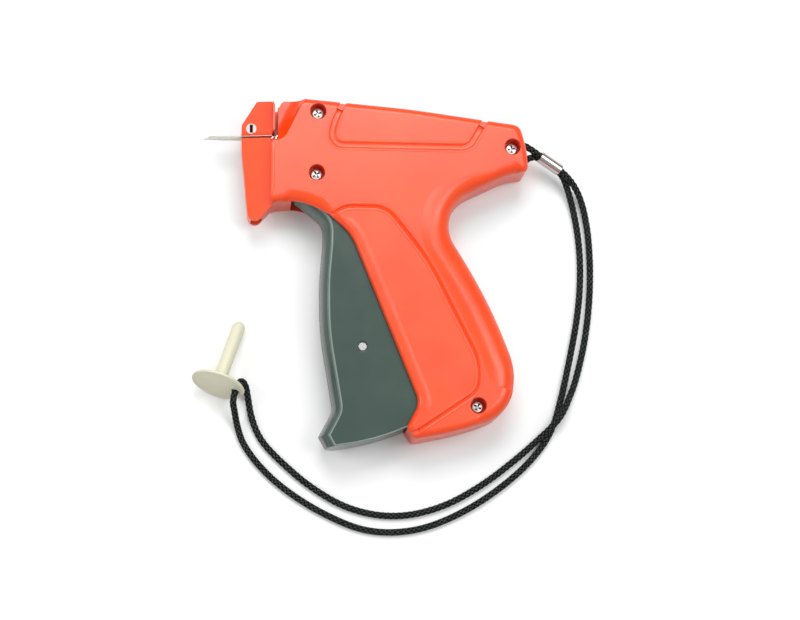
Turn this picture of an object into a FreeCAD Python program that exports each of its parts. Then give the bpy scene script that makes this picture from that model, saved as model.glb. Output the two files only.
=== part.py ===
"""Garment tag attacher (tagging gun) lying on its side, as separate pieces.

Frame: millimetres, +X from the needle to the rear, +Y from the grip up to the barrel,
+Z up from the floor through the thickness of the gun.  The origin is on the floor under
the trigger pivot.  "far" is the moulding half on the floor, "near" the half on top.
"""
import FreeCAD
import Part
import Sketcher
import math
import os
from FreeCAD import Placement, Rotation, Vector

doc = FreeCAD.newDocument("TagAttacher")

# ---------------------------------------------------------------- driving dimensions
SIZES = {
    "body_depth": 28.0,          # both halves together
    "side_wall": 3.0,            # wall of the broad faces
    "edge_wall": 3.4,            # wall round the outline
    "edge_round": 3.0,           # rounding of the outer edges
    "grip_back_round": 7.0,      # rounding of the grip's back, where the palm lies
    "recess_round": 5.0,         # rounding of the edge over the forefinger
    "lip_round": 2.4,            # rounding of the lips beside the trigger
    "nose_front_depth": 11.0,    # thickness of the nose at its front face
    "nose_rear_depth": 16.0,     # thickness of the nose at its step
    "nose_step_x": -14.4,
    "nose_block_rear": 9.0,      # the nose is solid up to here
    "nose_wall": 1.3,            # wall of the runner chute
    "scoop_radius": 6.0,         # ball-nosed scoop beside the feed slot
    "feed_slot_x": -12.75,
    "feed_slot_width": 1.4,
    "feed_mouth_y": 36.45,       # foot of the V that guides the clip into the slot
    "slit_width": 2.0,           # side slit over the needle
    "panel_groove_width": 2.8,
    "grip_groove_width": 1.8,
    "groove_depth": 0.9,
    "needle_y": 24.4,
    "needle_diameter": 2.1,
    "needle_bore": 1.4,
    "needle_slot": 0.7,
    "needle_tip_x": -44.0,
    "needle_rear_x": -18.6,
    "needle_base_depth": 2.6,
    "needle_bevel": 5.0,         # length of the slanted point
    "lock_x": -23.4,
    "lock_y": 27.4,
    "lock_slot_width": 1.3,
    "lock_slot_length": 3.5,
    "lock_slot_depth": 2.3,
    "lock_head_diameter": 4.5,
    "lock_shaft_diameter": 3.4,
    "blade_thickness": 0.6,
    "rod_diameter": 1.1,
    "stroke": 34.0,              # travel of the ejector rod
    "slide_depth": 11.0,
    "slide_height": 9.6,
    "slide_length": 22.0,
    "slide_low_y": 17.4,
    "trigger_width": 21.0,
    "trigger_plate": 2.2,
    "trigger_front_wall": 5.0,
    "trigger_bevel_wide": 3.4,   # how far the finger face is set back at the side plates
    "trigger_bevel_deep": 9.0,   # how far that bevel reaches through the width
    "trigger_reach": 110.0,      # pivot to the trigger's bottom edge
    "trigger_hub_diameter": 9.0,
    "trigger_side_gap": 0.5,
    "squeeze_angle": 17.0,       # degrees of trigger travel
    "pivot_pin_diameter": 4.0,
    "drive_pin_diameter": 3.8,
    "drive_pin_x": 24.3,
    "drive_pin_y": -66.9,
    "lever_x": 47.0,
    "lever_y": -29.0,
    "lever_arm": 51.4,           # fulcrum to the slide pin
    "lever_depth": 6.0,
    "lever_web": 3.4,            # material round the cam slot
    "lever_hub_diameter": 13.0,
    "lever_link_width": 12.4,
    "lever_upper_width": 11.2,
    "slide_pin_diameter": 3.2,
    "cam_gap": 0.3,
    "running_gap": 0.04,
    "screw_head_diameter": 5.4,
    "screw_head_height": 2.2,
    "screw_shank_diameter": 2.9,
    "screw_seat_depth": 7.6,     # from the near face down to the seat
    "screw_well_diameter": 7.0,
    "screw_end": 4.0,            # floor of the blind pilot holes
    "screw_slot_width": 0.75,
    "wheel_teeth": 12.0,
    "wheel_tip_radius": 5.2,
    "wheel_root_radius": 3.8,
    "wheel_width": 2.8,
    "wheel_x": -10.4,
    "wheel_y": 14.0,
    "wheel_depth_z": 7.7,
    "wheel_shaft_diameter": 2.0,
    "clip_channel_depth": 1.5,   # channel for the fasteners' cross bars
    "clip_channel_length": 10.5,
    "spring_post_x": 82.4,
    "spring_post_y": 14.2,
    "spring_offset": 6.4,        # its middle line above the parting plane
    "spring_lever_arm": 34.0,    # fulcrum to the spring's stub on the lever
    "spring_diameter": 5.0,
    "spring_wire": 0.9,
    "spring_coils": 11.0,
    "spring_stub_diameter": 2.4,
    "cord_diameter": 3.0,
    "cord_sides": 8.0,
    "crimp_length": 10.6,
    "crimp_wall": 0.75,
    "cover_length": 31.6,
    "cover_disc_diameter": 23.4,
    "cover_shank_diameter": 5.6,
    "cover_bore_diameter": 2.6,
    "cover_bore_depth": 24.0,
    "cover_rim": 1.3,
    "cover_hole_diameter": 3.6,
}

sheet = doc.addObject("Spreadsheet::Sheet", "Sizes")
for row, (alias, number) in enumerate(SIZES.items(), start=1):
    sheet.set("A%d" % row, alias)
    sheet.set("B%d" % row, str(number))
    sheet.setAlias("B%d" % row, alias)
doc.recompute()


def size(alias):
    """The number in the sheet's cell of that name."""
    return float(sheet.get(alias))


def ref(formula):
    """An expression over the sheet: [name] stands for a cell."""
    return formula.replace("[", "Sizes.").replace("]", "")


MID = size("body_depth") / 2          # parting plane of the two halves
NEAR = size("body_depth")             # near face
Z = Vector(0, 0, 1)
ALONG_X = Rotation(Vector(0, 1, 0), 90)               # turns an upright cylinder along the needle

# ---------------------------------------------------------------- curves and objects


def corner_outline(corners):
    """Lines and tangent arcs through rounded corners (name, x, y, radius); gives curves and names."""
    points = [Vector(x, y, 0) for _, x, y, _ in corners]
    ends = []
    for i, (_, _, _, radius) in enumerate(corners):
        here = points[i]
        back = (points[i - 1] - here).normalize()
        ahead = (points[(i + 1) % len(points)] - here).normalize()
        if radius <= 0:
            ends.append((here, here, None))
            continue
        half_angle = back.getAngle(ahead) / 2
        reach = radius / math.tan(half_angle)
        centre = here + (back + ahead).normalize() * (radius / math.sin(half_angle))
        middle = centre + (here - centre).normalize() * radius
        ends.append((here + back * reach, here + ahead * reach, middle))
    curves = []
    for i, (name, _, _, _) in enumerate(corners):
        start, stop, middle = ends[i]
        if middle is not None:
            curves.append((name, Part.Arc(start, middle, stop)))
        following = ends[(i + 1) % len(corners)][0]
        if (following - stop).Length > 1e-6:
            curves.append((name + "_side", Part.LineSegment(stop, following)))
    return curves


def polygon(points):
    """Closed polygon as line curves."""
    corners = [Vector(x, y, 0) for x, y in points]
    return [Part.LineSegment(corners[i], corners[(i + 1) % len(corners)]) for i in range(len(corners))]


def rectangle(x_low, x_high, y_low, y_high):
    return polygon([(x_low, y_low), (x_high, y_low), (x_high, y_high), (x_low, y_high)])


def sketch(name, curves, place=None):
    """A sketch of the given curves; its plane is XY unless placed."""
    drawing = doc.addObject("Sketcher::SketchObject", name + "_sketch")
    drawing.addGeometry(list(curves), False)
    if place is not None:
        drawing.Placement = place
    return drawing


def extrusion(name, drawing, direction, length, back=0.0):
    """A solid from a closed sketch; length is a number or an expression over the sheet."""
    solid = doc.addObject("Part::Extrusion", name)
    solid.Base = drawing
    solid.DirMode = "Custom"
    solid.Dir = direction
    solid.Solid = True
    solid.LengthRev = back
    if isinstance(length, str):
        solid.setExpression("LengthFwd", ref(length))
    else:
        solid.LengthFwd = length
    return solid


def prism(name, curves, z_low, length):
    """An upright prism of closed curves from z_low up."""
    return extrusion(name, sketch(name, curves, Placement(Vector(0, 0, z_low), Rotation())), Z, length)


def box(name, x_span, y_span, z_span):
    solid = doc.addObject("Part::Box", name)
    solid.Length = x_span[1] - x_span[0]
    solid.Width = y_span[1] - y_span[0]
    solid.Height = z_span[1] - z_span[0]
    solid.Placement.Base = Vector(x_span[0], y_span[0], z_span[0])
    return solid


def cylinder(name, x, y, z_low, height, diameter, turn=None):
    """A cylinder up from (x, y, z_low); diameter is an expression over the sheet or a number."""
    solid = doc.addObject("Part::Cylinder", name)
    solid.Placement = Placement(Vector(x, y, z_low), turn or Rotation())
    for prop, value, factor in (("Height", height, ""), ("Radius", diameter, "/2")):
        if isinstance(value, str):
            solid.setExpression(prop, "(" + ref(value) + ")" + factor)
        else:
            setattr(solid, prop, value / 2 if factor else value)
    return solid


def fused(name, shapes):
    solid = doc.addObject("Part::MultiFuse", name)
    solid.Shapes = shapes
    solid.Refine = True
    return solid


def cut(name, base, tools):
    solid = doc.addObject("Part::Cut", name)
    solid.Base = base
    solid.Tool = tools[0] if len(tools) == 1 else fused(name + "_cutter", tools)
    solid.Refine = True
    return solid


def common(name, first, second):
    solid = doc.addObject("Part::Common", name)
    solid.Base = first
    solid.Tool = second
    return solid


def feature(name, shape):
    """A shape made with Part's own functions."""
    solid = doc.addObject("Part::Feature", name)
    solid.Shape = shape
    return solid


def soft_path(points):
    """Straight runs joined by tangent arcs through a list of points; gives the wire and arc radii."""
    edges, radii, last = [], [], points[0]
    for before, here, after in zip(points, points[1:], points[2:]):
        back, ahead = before - here, after - here
        run = min(back.Length, ahead.Length)
        back.normalize()
        ahead.normalize()
        half_turn = (math.pi - back.getAngle(ahead)) / 2
        reach = 0.45 * run
        bend = reach / math.tan(half_turn)
        start, stop = here + back * reach, here + ahead * reach
        centre = here + (back + ahead).normalize() * (reach / math.sin(half_turn))
        middle = centre + (here - centre).normalize() * bend
        edges += [Part.LineSegment(last, start).toShape(), Part.Arc(start, middle, stop).toShape()]
        last = stop
        radii.append(bend)
    edges.append(Part.LineSegment(last, points[-1]).toShape())
    return Part.Wire(edges), radii


def tube(points, radius, sides):
    """A bar of regular section along the points; gives the solid, its line's length and arc radii."""
    path, radii = soft_path(points)
    along = points[1] - points[0]
    turns = [i * 360.0 / sides for i in range(sides + 1)]
    ring = Part.makePolygon([turned_spoke(points[0], along, radius, turn) for turn in turns])
    return path.makePipeShell([ring], True, False), path.Length, radii


def turned_spoke(centre, along, radius, degrees):
    """A point at that radius round the centre, in the plane across the direction."""
    spoke = along.cross(Vector(0.3, 0.2, 1.0)).normalize() * radius
    return centre + Rotation(along, degrees).multVec(spoke)


def turned(point, centre, degrees):
    """The point turned about the centre in the XY plane."""
    angle = math.radians(degrees)
    dx, dy = point[0] - centre[0], point[1] - centre[1]
    return (centre[0] + dx * math.cos(angle) - dy * math.sin(angle),
            centre[1] + dx * math.sin(angle) + dy * math.cos(angle))


def mirrored(name, source):
    """The source mirrored in the parting plane."""
    solid = doc.addObject("Part::Mirroring", name)
    solid.Source = source
    solid.Base = Vector(0, 0, MID)
    solid.Normal = Z
    return solid


# ---------------------------------------------------------------- mechanism geometry
PIVOT = (0.0, 0.0)                                   # trigger pivot
FULCRUM = (size("lever_x"), size("lever_y"))
DRIVE_PIN = (size("drive_pin_x"), size("drive_pin_y"))
SQUEEZE = size("squeeze_angle")
ARM = size("lever_arm")
HALF_SWING = math.degrees(math.asin(size("stroke") / 2 / ARM))
LEVER_RATIO = 2 * HALF_SWING / SQUEEZE               # lever degrees per trigger degree
SLIDE_PIN = (FULCRUM[0] + size("stroke") / 2, FULCRUM[1] + ARM * math.cos(math.radians(HALF_SWING)))
NEEDLE_Y = size("needle_y")
print("lever ratio %.6f, slide metres per radian of trigger %.6f, slide pin at rest %.4f %.4f"
      % (LEVER_RATIO, -size("stroke") / 1000 / math.radians(SQUEEZE), SLIDE_PIN[0], SLIDE_PIN[1]))


def cam_point(trigger_angle):
    """Where the drive pin lies in the lever at rest, when the trigger is at that angle."""
    moved = turned(DRIVE_PIN, PIVOT, trigger_angle)
    return turned(moved, FULCRUM, -LEVER_RATIO * trigger_angle)


# ---------------------------------------------------------------- housing halves
OUTLINE = [
    ("cheek", -0.4, 39.75, 0.6),
    ("top", 45, 35.7, 300),
    ("rear_top", 91.8, 29.3, 4.5),
    ("rear", 94.9, 17.5, 40),
    ("rear_low", 95.2, 9.4, 2.6),
    ("barrel_under", 86, 7.6, 30),
    ("neck", 54.7, -8.1, 15.5),
    ("back", 79.2, -47.5, 220),
    ("butt_rear", 90.0, -77.0, 29),
    ("butt_low", 86.5, -95.5, 18),
    ("bottom", 66, -102.5, 120),
    ("heel", 46.3, -106.6, 2.4),
    ("heel_front", 42.9, -101.4, 1.2),
    ("front_low", 48.35, -90.8, 8),
    ("front_top", 19.3, -18.8, 22),
    ("junction", 9.6, -10.2, 4),
    ("under", -1.8, -5.3, 25),
    ("under_nose", -13.7, -5.3, 6),
    ("tip", -24.1, -16.95, 3.2),
    ("nose_front", -27.5, 19.5, 60),
    ("nose_shoulder", -27.5, 28.9, 1),
    ("nose_top", -21.1, 39.1, 0.8),
    ("deck", -2.6, 39.1, 0.8),
]
SCREWS = [(5.0, 33.9), (4.5, 7.3), (88.4, 19.6), (73.3, -92.1)]
REAR_SCREW = SCREWS[2]
BUTT_SCREW = SCREWS[3]
FEED_X = size("feed_slot_x")
FEED_LEFT = FEED_X - size("feed_slot_width") / 2
FEED_RIGHT = FEED_X + size("feed_slot_width") / 2
SLIT_LOW = NEEDLE_Y - size("slit_width") / 2
SLIT_HIGH = NEEDLE_Y + size("slit_width") / 2
CHANNEL_FOOT = NEEDLE_Y - 1.1                        # the cross bars drop to the needle's middle line
ABOVE = size("body_depth") * 2                       # clear of everything, for cutters
LEFT_OF_ALL = size("needle_tip_x")
RIGHT_OF_ALL = 1.1 * size("trigger_reach")
UNDER_ALL = -1.1 * size("trigger_reach")
TOP_OF_ALL = 60.0
V_MOUTH = [(FEED_LEFT - 1.5, 41.0), (FEED_LEFT - 1.05, 38.7), (FEED_LEFT, size("feed_mouth_y")),
           (FEED_RIGHT + 0.55, size("feed_mouth_y")), (FEED_RIGHT + 1.3, 38.2), (FEED_RIGHT + 2.4, 38.95),
           (FEED_RIGHT + 3.4, 41.0)]


def edge_rounds(solid, curves, run):
    """(edge number, radius, radius) of the top edges along a run of (corner, radius).

    The arc at a corner keeps its radius, and the side between two corners runs from one
    radius to the other.  The arcs at the two ends of the run stay sharp.
    """
    named = dict(curves)
    rounds = []

    def add(name, first, last):
        curve = named[name]
        start = curve.value(curve.FirstParameter) + Z * NEAR
        middle = curve.value((curve.FirstParameter + curve.LastParameter) / 2)
        probe = Part.Vertex(middle.x, middle.y, NEAR)
        distances = [edge.distToShape(probe)[0] for edge in solid.Shape.Edges]
        number = distances.index(min(distances))
        ends = [vertex.Point for vertex in solid.Shape.Edges[number].Vertexes]
        if (ends[0] - start).Length > (ends[-1] - start).Length:
            first, last = last, first
        rounds.append((number + 1, first, last))

    for (corner, first), (following, last) in zip(run, run[1:]):
        add(corner + "_side", first, last)
        if following != run[-1][0]:
            add(following, last, last)
    return rounds


def half_blank():
    """The near half as a solid block: rounded outline with the nose cut back to its own planes."""
    curves = corner_outline(OUTLINE)
    block = prism("half_block", [curve for _, curve in curves], MID, "[body_depth]/2")
    doc.recompute()
    rounding = doc.addObject("Part::Fillet", "half_rounded")
    rounding.Base = block
    edge, lip, back = size("edge_round"), size("lip_round"), size("grip_back_round")
    blend = (edge + back) / 2
    rounding.Edges = (
        edge_rounds(block, curves, [
            ("cheek", edge), ("top", edge), ("rear_top", edge), ("rear", edge), ("rear_low", edge),
            ("barrel_under", blend), ("neck", back), ("back", back), ("butt_rear", back),
            ("butt_low", blend), ("bottom", edge), ("heel", edge)])
        + edge_rounds(block, curves, [("heel_front", lip), ("front_low", lip), ("front_top", lip),
                                      ("junction", lip)])
        + edge_rounds(block, curves, [("junction", edge), ("under", size("recess_round")),
                                      ("under_nose", edge), ("tip", edge)]))
    front = -32.0
    slope = (size("nose_rear_depth") - size("nose_front_depth")) / 2 / (size("nose_step_x") + 27.5)
    at_front = MID + size("nose_front_depth") / 2 + slope * (front + 27.5)
    side_view = Placement(Vector(0, -30, 0), Rotation(Vector(1, 0, 0), 90))
    profile = polygon([(front, at_front), (size("nose_step_x"), MID + size("nose_rear_depth") / 2),
                       (size("nose_step_x"), ABOVE), (front, ABOVE)])
    wedge = extrusion("nose_wedge", sketch("nose_wedge", profile, side_view), Vector(0, 1, 0), 80.0)
    return cut("half_blank", rounding, [wedge])


def inner_space(side):
    """The room for the mechanism on one side of the parting plane: side is +1 near, -1 far."""
    tag = "near" if side > 0 else "far"
    outline = Part.Wire([curve.toShape() for _, curve in corner_outline(OUTLINE)])
    inset = outline.makeOffset2D(-size("edge_wall"))
    depth = NEAR / 2 - size("side_wall")
    low = MID if side > 0 else MID - depth
    hollow = feature(tag + "_inset", Part.Face(inset).extrude(Z * depth))
    hollow.Placement.Base = Vector(0, 0, low)
    keep = box(tag + "_behind_nose", (size("nose_block_rear"), RIGHT_OF_ALL), (UNDER_ALL, TOP_OF_ALL),
               (0, NEAR))
    room = common(tag + "_room", hollow, keep)
    well_depth = size("trigger_width") / 2 + size("trigger_side_gap")
    well_low = MID if side > 0 else MID - well_depth
    reach = 2 * (size("trigger_reach") + 0.6)
    sweep = cylinder(tag + "_sweep", 0, 0, well_low, well_depth, reach)
    front = polygon([(-6.2, 0.4), (-6.2, -120), (60, -120), (62, -105), (22, 0.4)])
    well = common(tag + "_well", sweep, prism(tag + "_well_front", front, well_low, well_depth))
    hub = cylinder(tag + "_hub_room", 0, 0, well_low, well_depth, "[trigger_hub_diameter]+1")
    return [room, well, hub]


def nose_channels(side):
    """Cutters that both halves share in the nose: needle, rod guide, fastener channel, V mouth."""
    tag = "near" if side > 0 else "far"
    needle = cylinder(tag + "_needle_bed", -30, NEEDLE_Y, MID, 30 + FEED_RIGHT, "[needle_diameter]", ALONG_X)
    guide = cylinder(tag + "_rod_guide", -16, NEEDLE_Y, MID, 16 + size("nose_block_rear") + 1,
                     "[rod_diameter]+0.3", ALONG_X)
    depth = size("clip_channel_depth") / 2
    half = size("clip_channel_length") / 2
    z_span = (MID, MID + depth) if side > 0 else (MID - depth, MID)
    channel = box(tag + "_clip_channel", (FEED_X - half, FEED_X + half), (CHANNEL_FOOT, TOP_OF_ALL), z_span)
    v_mouth = prism(tag + "_v_mouth", polygon(V_MOUTH), -1, NEAR + 2)
    return [needle, guide, channel, v_mouth]


def chute(side):
    """The passage that the emptied runner leaves by, open at the nose's lower tip."""
    tag = "near" if side > 0 else "far"
    wall = size("nose_wall")
    depth = size("nose_front_depth") / 2 + 0.6 - wall
    low = MID if side > 0 else MID - depth
    passage = corner_outline([
        ("mouth_front", -24.0 + wall, -18, 0), ("top_front", -27.3 + wall, 17.5, 1),
        ("top_rear", -14.9, 17.5, 1), ("rear", -14.9, -3.6, 4),
        ("mouth_rear", -17.4 - wall, -9.5, 4), ("mouth_end", -17.4 - wall, -18, 0)])
    hollow = prism(tag + "_chute", [curve for _, curve in passage], low, depth)
    half = 0.75
    z_span = (MID, MID + half) if side > 0 else (MID - half, MID)
    drop = box(tag + "_runner_drop", (-16.5, FEED_RIGHT), (16, NEEDLE_Y), z_span)
    return [hollow, drop]


def screw_wells():
    """Counterbores and clearance holes of the near half."""
    tools = []
    for number, (x, y) in enumerate(SCREWS, start=1):
        seat = NEAR - size("screw_seat_depth")
        tools.append(cylinder("screw_well_%d" % number, x, y, seat, size("screw_seat_depth") + 1,
                              "[screw_well_diameter]"))
        tools.append(cylinder("screw_way_%d" % number, x, y, MID - 1, seat - MID + 2,
                              "[screw_shank_diameter]+0.3"))
    return tools


def pin_bores(side):
    """Blind bores for the trigger pivot pin and the lever pin."""
    tag = "near" if side > 0 else "far"
    z_low = MID if side > 0 else 1.5
    length = MID - 1.5
    return [cylinder(tag + "_pivot_bore", 0, 0, z_low, length, "[pivot_pin_diameter]"),
            cylinder(tag + "_lever_bore", FULCRUM[0], FULCRUM[1], z_low, length, "[pivot_pin_diameter]")]


def rails(side):
    """Guides above and below the slide."""
    tag = "near" if side > 0 else "far"
    low_y = size("slide_low_y")
    high_y = low_y + size("slide_height")
    inner = size("lever_depth") / 2 + 0.9
    z_low, z_high = (MID + inner, NEAR - 1.5) if side > 0 else (1.5, MID - inner)
    return [box(tag + "_lower_rail", (8, 78), (low_y - 1.6, low_y - 0.2), (z_low, z_high)),
            box(tag + "_upper_rail", (8, 72), (high_y + 0.2, high_y + 1.6), (z_low, z_high))]


def lever_boss(side):
    tag = "near" if side > 0 else "far"
    inner = size("lever_depth") / 2 + 0.3
    z_low = MID + inner if side > 0 else 1.5
    return cylinder(tag + "_lever_boss", FULCRUM[0], FULCRUM[1], z_low, MID - inner - 1.5, 7.0)


CORD_PORT = [(88.0, 98.0), (13.2, 25.8)]
SPRING_POST = (size("spring_post_x"), size("spring_post_y"))
SPRING_Z = MID + size("spring_offset")


def cord_port():
    half = size("cord_diameter") / 2 + 0.8
    return box("cord_port", CORD_PORT[0], CORD_PORT[1], (MID - half, MID + half))


PANEL_GROOVE = [(17.3, 41.7, 0), (11.6, 28.1, 14.6), (10.2, 19.4, 4.8), (69.6, 18.9, 6.1), (78.0, 33.3, 0)]
PANEL_ENDS = [(15.7, 38.25, -5.1), (76.7, 31.25, -8.1)]     # where it meets the top edge, and its slope
GRIP_GROOVE = [(8.5, -13.2, 0), (15.8, -7.1, 11), (34.3, -7.1, 12), (52.0, -29.4, 95), (73.6, -72.8, 23),
               (73.6, -85.5, 10), (44.5, -105.0, 0)]


def beside(corners, aside):
    """The run of corners (x, y, radius) moved to its left by that much."""
    moved = []
    for i, (x, y, radius) in enumerate(corners):
        here = Vector(x, y, 0)
        back = here - Vector(*corners[i - 1][:2], 0) if i > 0 else None
        ahead = Vector(*corners[i + 1][:2], 0) - here if i + 1 < len(corners) else None
        back = (back or ahead).normalize()
        ahead = (ahead or back).normalize()
        left_back, left_ahead = Vector(-back.y, back.x, 0), Vector(-ahead.y, ahead.x, 0)
        place = here + (left_back + left_ahead) * (aside / (1 + left_back.dot(left_ahead)))
        turn = math.copysign(1.0, back.cross(ahead).z)
        moved.append((place.x, place.y, radius - turn * aside if radius > 0 else 0))
    return moved


def strip(corners, width):
    """A face of that width along an open run with rounded corners (x, y, radius)."""
    ring = beside(corners, width / 2) + beside(corners, -width / 2)[::-1]
    curves = corner_outline([("corner_%d" % i, *corner) for i, corner in enumerate(ring)])
    return Part.Face(Part.Wire([curve.toShape() for _, curve in curves]))


def face_groove(name, corners, width):
    """A shallow channel sunk in the near face along the corners."""
    depth = size("groove_depth")
    groove = feature(name, strip(corners, width).extrude(Z * (depth + 3)))
    groove.Placement.Base = Vector(0, 0, NEAR - depth)
    return groove


def panel_notches():
    """The panel groove's two ends, carried over the rounded top edge."""
    width, depth = size("panel_groove_width"), size("groove_depth")
    notches = []
    for number, (x, y, slope) in enumerate(PANEL_ENDS):
        notch = box("panel_notch_%d" % (number + 1), (-width / 2, width / 2), (-depth, 3),
                    (MID + 3, NEAR + 1))
        notch.Placement = Placement(Vector(x, y, 0), Rotation(Z, slope)).multiply(notch.Placement)
        notches.append(notch)
    return notches


def near_half(blank):
    """left_housing: the half that faces up, with grooves, scoop and screw wells."""
    scoop_r = size("scoop_radius")
    scoop_z = MID + size("nose_rear_depth") / 2 + scoop_r
    direction = Vector(0.437, 0.9, 0).normalize()
    foot = Vector(-13.5, 27.0, scoop_z)
    ball = doc.addObject("Part::Sphere", "scoop_ball")
    ball.setExpression("Radius", ref("[scoop_radius]"))
    ball.Placement.Base = foot
    lane = cylinder("scoop_lane", foot.x, foot.y, foot.z, 30, "2*[scoop_radius]", Rotation(Z, direction))
    deck = foot + direction * 20
    flat = prism("scoop_flat", polygon([(foot.x - 1, foot.y - 3), (foot.x, foot.y), (deck.x, deck.y),
                                        (foot.x - 1, deck.y)]), scoop_z - scoop_r, 20.0)
    tools = [ball, lane, flat,
             box("island_room", (LEFT_OF_ALL, FEED_RIGHT), (SLIT_LOW, TOP_OF_ALL), (MID - 1, ABOVE)),
             face_groove("panel_groove", PANEL_GROOVE, size("panel_groove_width")),
             face_groove("grip_groove", GRIP_GROOVE, size("grip_groove_width"))] + panel_notches()
    shell = cut("near_shell", blank, tools + inner_space(+1) + nose_channels(+1) + chute(+1))
    waist = MID + size("cord_diameter") / 2 + 1.0
    bosses = [cylinder("near_rear_boss", REAR_SCREW[0], REAR_SCREW[1], waist, NEAR - waist - 1, 9.6),
              cylinder("near_rear_waist", REAR_SCREW[0], REAR_SCREW[1], MID, 6, 5.4),
              cylinder("near_butt_boss", BUTT_SCREW[0], BUTT_SCREW[1], MID, NEAR - MID - 3, 9.6),
              cylinder("near_spring_post", SPRING_POST[0], SPRING_POST[1], SPRING_Z - 1.2,
                       NEAR - SPRING_Z, "[spring_stub_diameter]"),
              lever_boss(+1)] + rails(+1)
    blade = prism("blade_seat", polygon(BLADE), MID + 1.2, "[blade_thickness]")
    return cut("left_housing", fused("near_with_bosses", [shell] + bosses),
               screw_wells() + pin_bores(+1) + [cord_port(), blade])


BLADE = [(-15.9, 20.4), (-12.9, 20.4), (-11.9, 23.0), (-12.6, 24.1), (-14.6, 24.1)]


def far_half(blank):
    """right_housing: the half on the floor, which carries the pins, the wheel and the needle base."""
    block = mirrored("far_block", blank)
    shaft = size("wheel_shaft_diameter")
    wheel_x, wheel_y, wheel_z = size("wheel_x"), size("wheel_y"), size("wheel_depth_z")
    half = size("wheel_width") / 2 + 0.4
    wheel_room = cylinder("wheel_room", wheel_x - half, wheel_y, wheel_z, 2 * half,
                          "2*[wheel_tip_radius]+0.8", ALONG_X)
    wheel_way = box("wheel_way", (wheel_x - half, wheel_x + half),
                    (wheel_y - size("wheel_tip_radius") - 0.4, wheel_y + size("wheel_tip_radius") + 0.4),
                    (wheel_z, MID + 1))
    shaft_bed = cylinder("shaft_bed", wheel_x - 2.7, wheel_y, wheel_z, 9.0, shaft, ALONG_X)
    shaft_way = box("shaft_way", (wheel_x - 2.7, wheel_x + 6.3), (wheel_y - shaft / 2, wheel_y + shaft / 2),
                    (wheel_z, MID + 1))
    leaf_bed = box("leaf_bed", (wheel_x - 1.2, wheel_x + 1.2), (LEAF_Y[0], wheel_y), (LEAF_Z[0], LEAF_Z[1]))
    leaf_room = box("leaf_room", (wheel_x - half, wheel_x + half), (LEAF_Y[0] + 3, wheel_y),
                    (wheel_z - 1.6, MID + 1))
    base_low = MID - size("needle_diameter") / 2 - size("needle_base_depth")
    base_bed = box("base_bed", BASE_X, BASE_Y, (base_low, MID + 1))
    lock_bed = cylinder("lock_bed_far", size("lock_x"), size("lock_y"), MID - 4.2, 5,
                        "[lock_shaft_diameter]+2*[running_gap]")
    peg_bed = cylinder("peg_bed", PEG[0], PEG[1], MID - 3.2, 4, 3.0)
    shell = cut("far_shell", block, inner_space(-1) + nose_channels(-1) + chute(-1) + [
        wheel_room, wheel_way, shaft_bed, shaft_way, leaf_bed, leaf_room, base_bed, lock_bed, peg_bed])
    bosses = [cylinder("far_rear_boss", REAR_SCREW[0], REAR_SCREW[1], 1.5, MID - 1.5, 5.4),
              cylinder("far_butt_boss", BUTT_SCREW[0], BUTT_SCREW[1], 1.5, MID - 1.5, 7.4),
              lever_boss(-1)] + rails(-1)
    pilots = [cylinder("screw_pilot_%d" % (i + 1), x, y, SCREW_END, MID, "[screw_shank_diameter]")
              for i, (x, y) in enumerate(SCREWS)]
    port = doc.copyObject(doc.getObject("cord_port"), False)
    return cut("right_housing", fused("far_with_bosses", [shell] + bosses), pilots + pin_bores(-1) + [port])


LEAF_Y = (3.6, 9.75)
LEAF_Z = (size("wheel_depth_z") - 0.2, size("wheel_depth_z") + 0.2)
BASE_X = (-25.2, size("needle_rear_x"))
BASE_Y = (21.9, 26.9)
PEG = (-20.6, 33.6)
SCREW_END = size("screw_end")


def nose_cap(blank):
    """The block over the needle, left of the feed slot, with its locating peg and lock bore."""
    region = prism("cap_region", rectangle(LEFT_OF_ALL, FEED_LEFT, SLIT_HIGH, TOP_OF_ALL), MID, MID)
    body = cut("cap_body", common("cap_block", blank, region), nose_channels_for_cap())
    peg = cylinder("cap_peg", PEG[0], PEG[1], MID - 3.0, 3.5, 3.0)
    head_room = cylinder("lock_head_room", size("lock_x"), size("lock_y"), LOCK_HEAD_LOW, 20,
                         "[lock_head_diameter]+2*[running_gap]")
    bore = cylinder("lock_bed_near", size("lock_x"), size("lock_y"), MID - 1, 20,
                    "[lock_shaft_diameter]+2*[running_gap]")
    return cut("nose_cap", fused("cap_with_peg", [body, peg]), [head_room, bore])


LOCK_HEAD_LOW = MID + 3.0


def nose_channels_for_cap():
    depth = size("clip_channel_depth") / 2
    half = size("clip_channel_length") / 2
    channel = box("cap_clip_channel", (FEED_X - half, FEED_X + half), (CHANNEL_FOOT, TOP_OF_ALL),
                  (MID, MID + depth))
    bed = cylinder("cap_needle_bed", -30, NEEDLE_Y, MID, 30 + FEED_LEFT, "[needle_diameter]",
                   ALONG_X)
    return [channel, bed, prism("cap_v_mouth", polygon(V_MOUTH), MID - 1, NEAR)]


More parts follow.
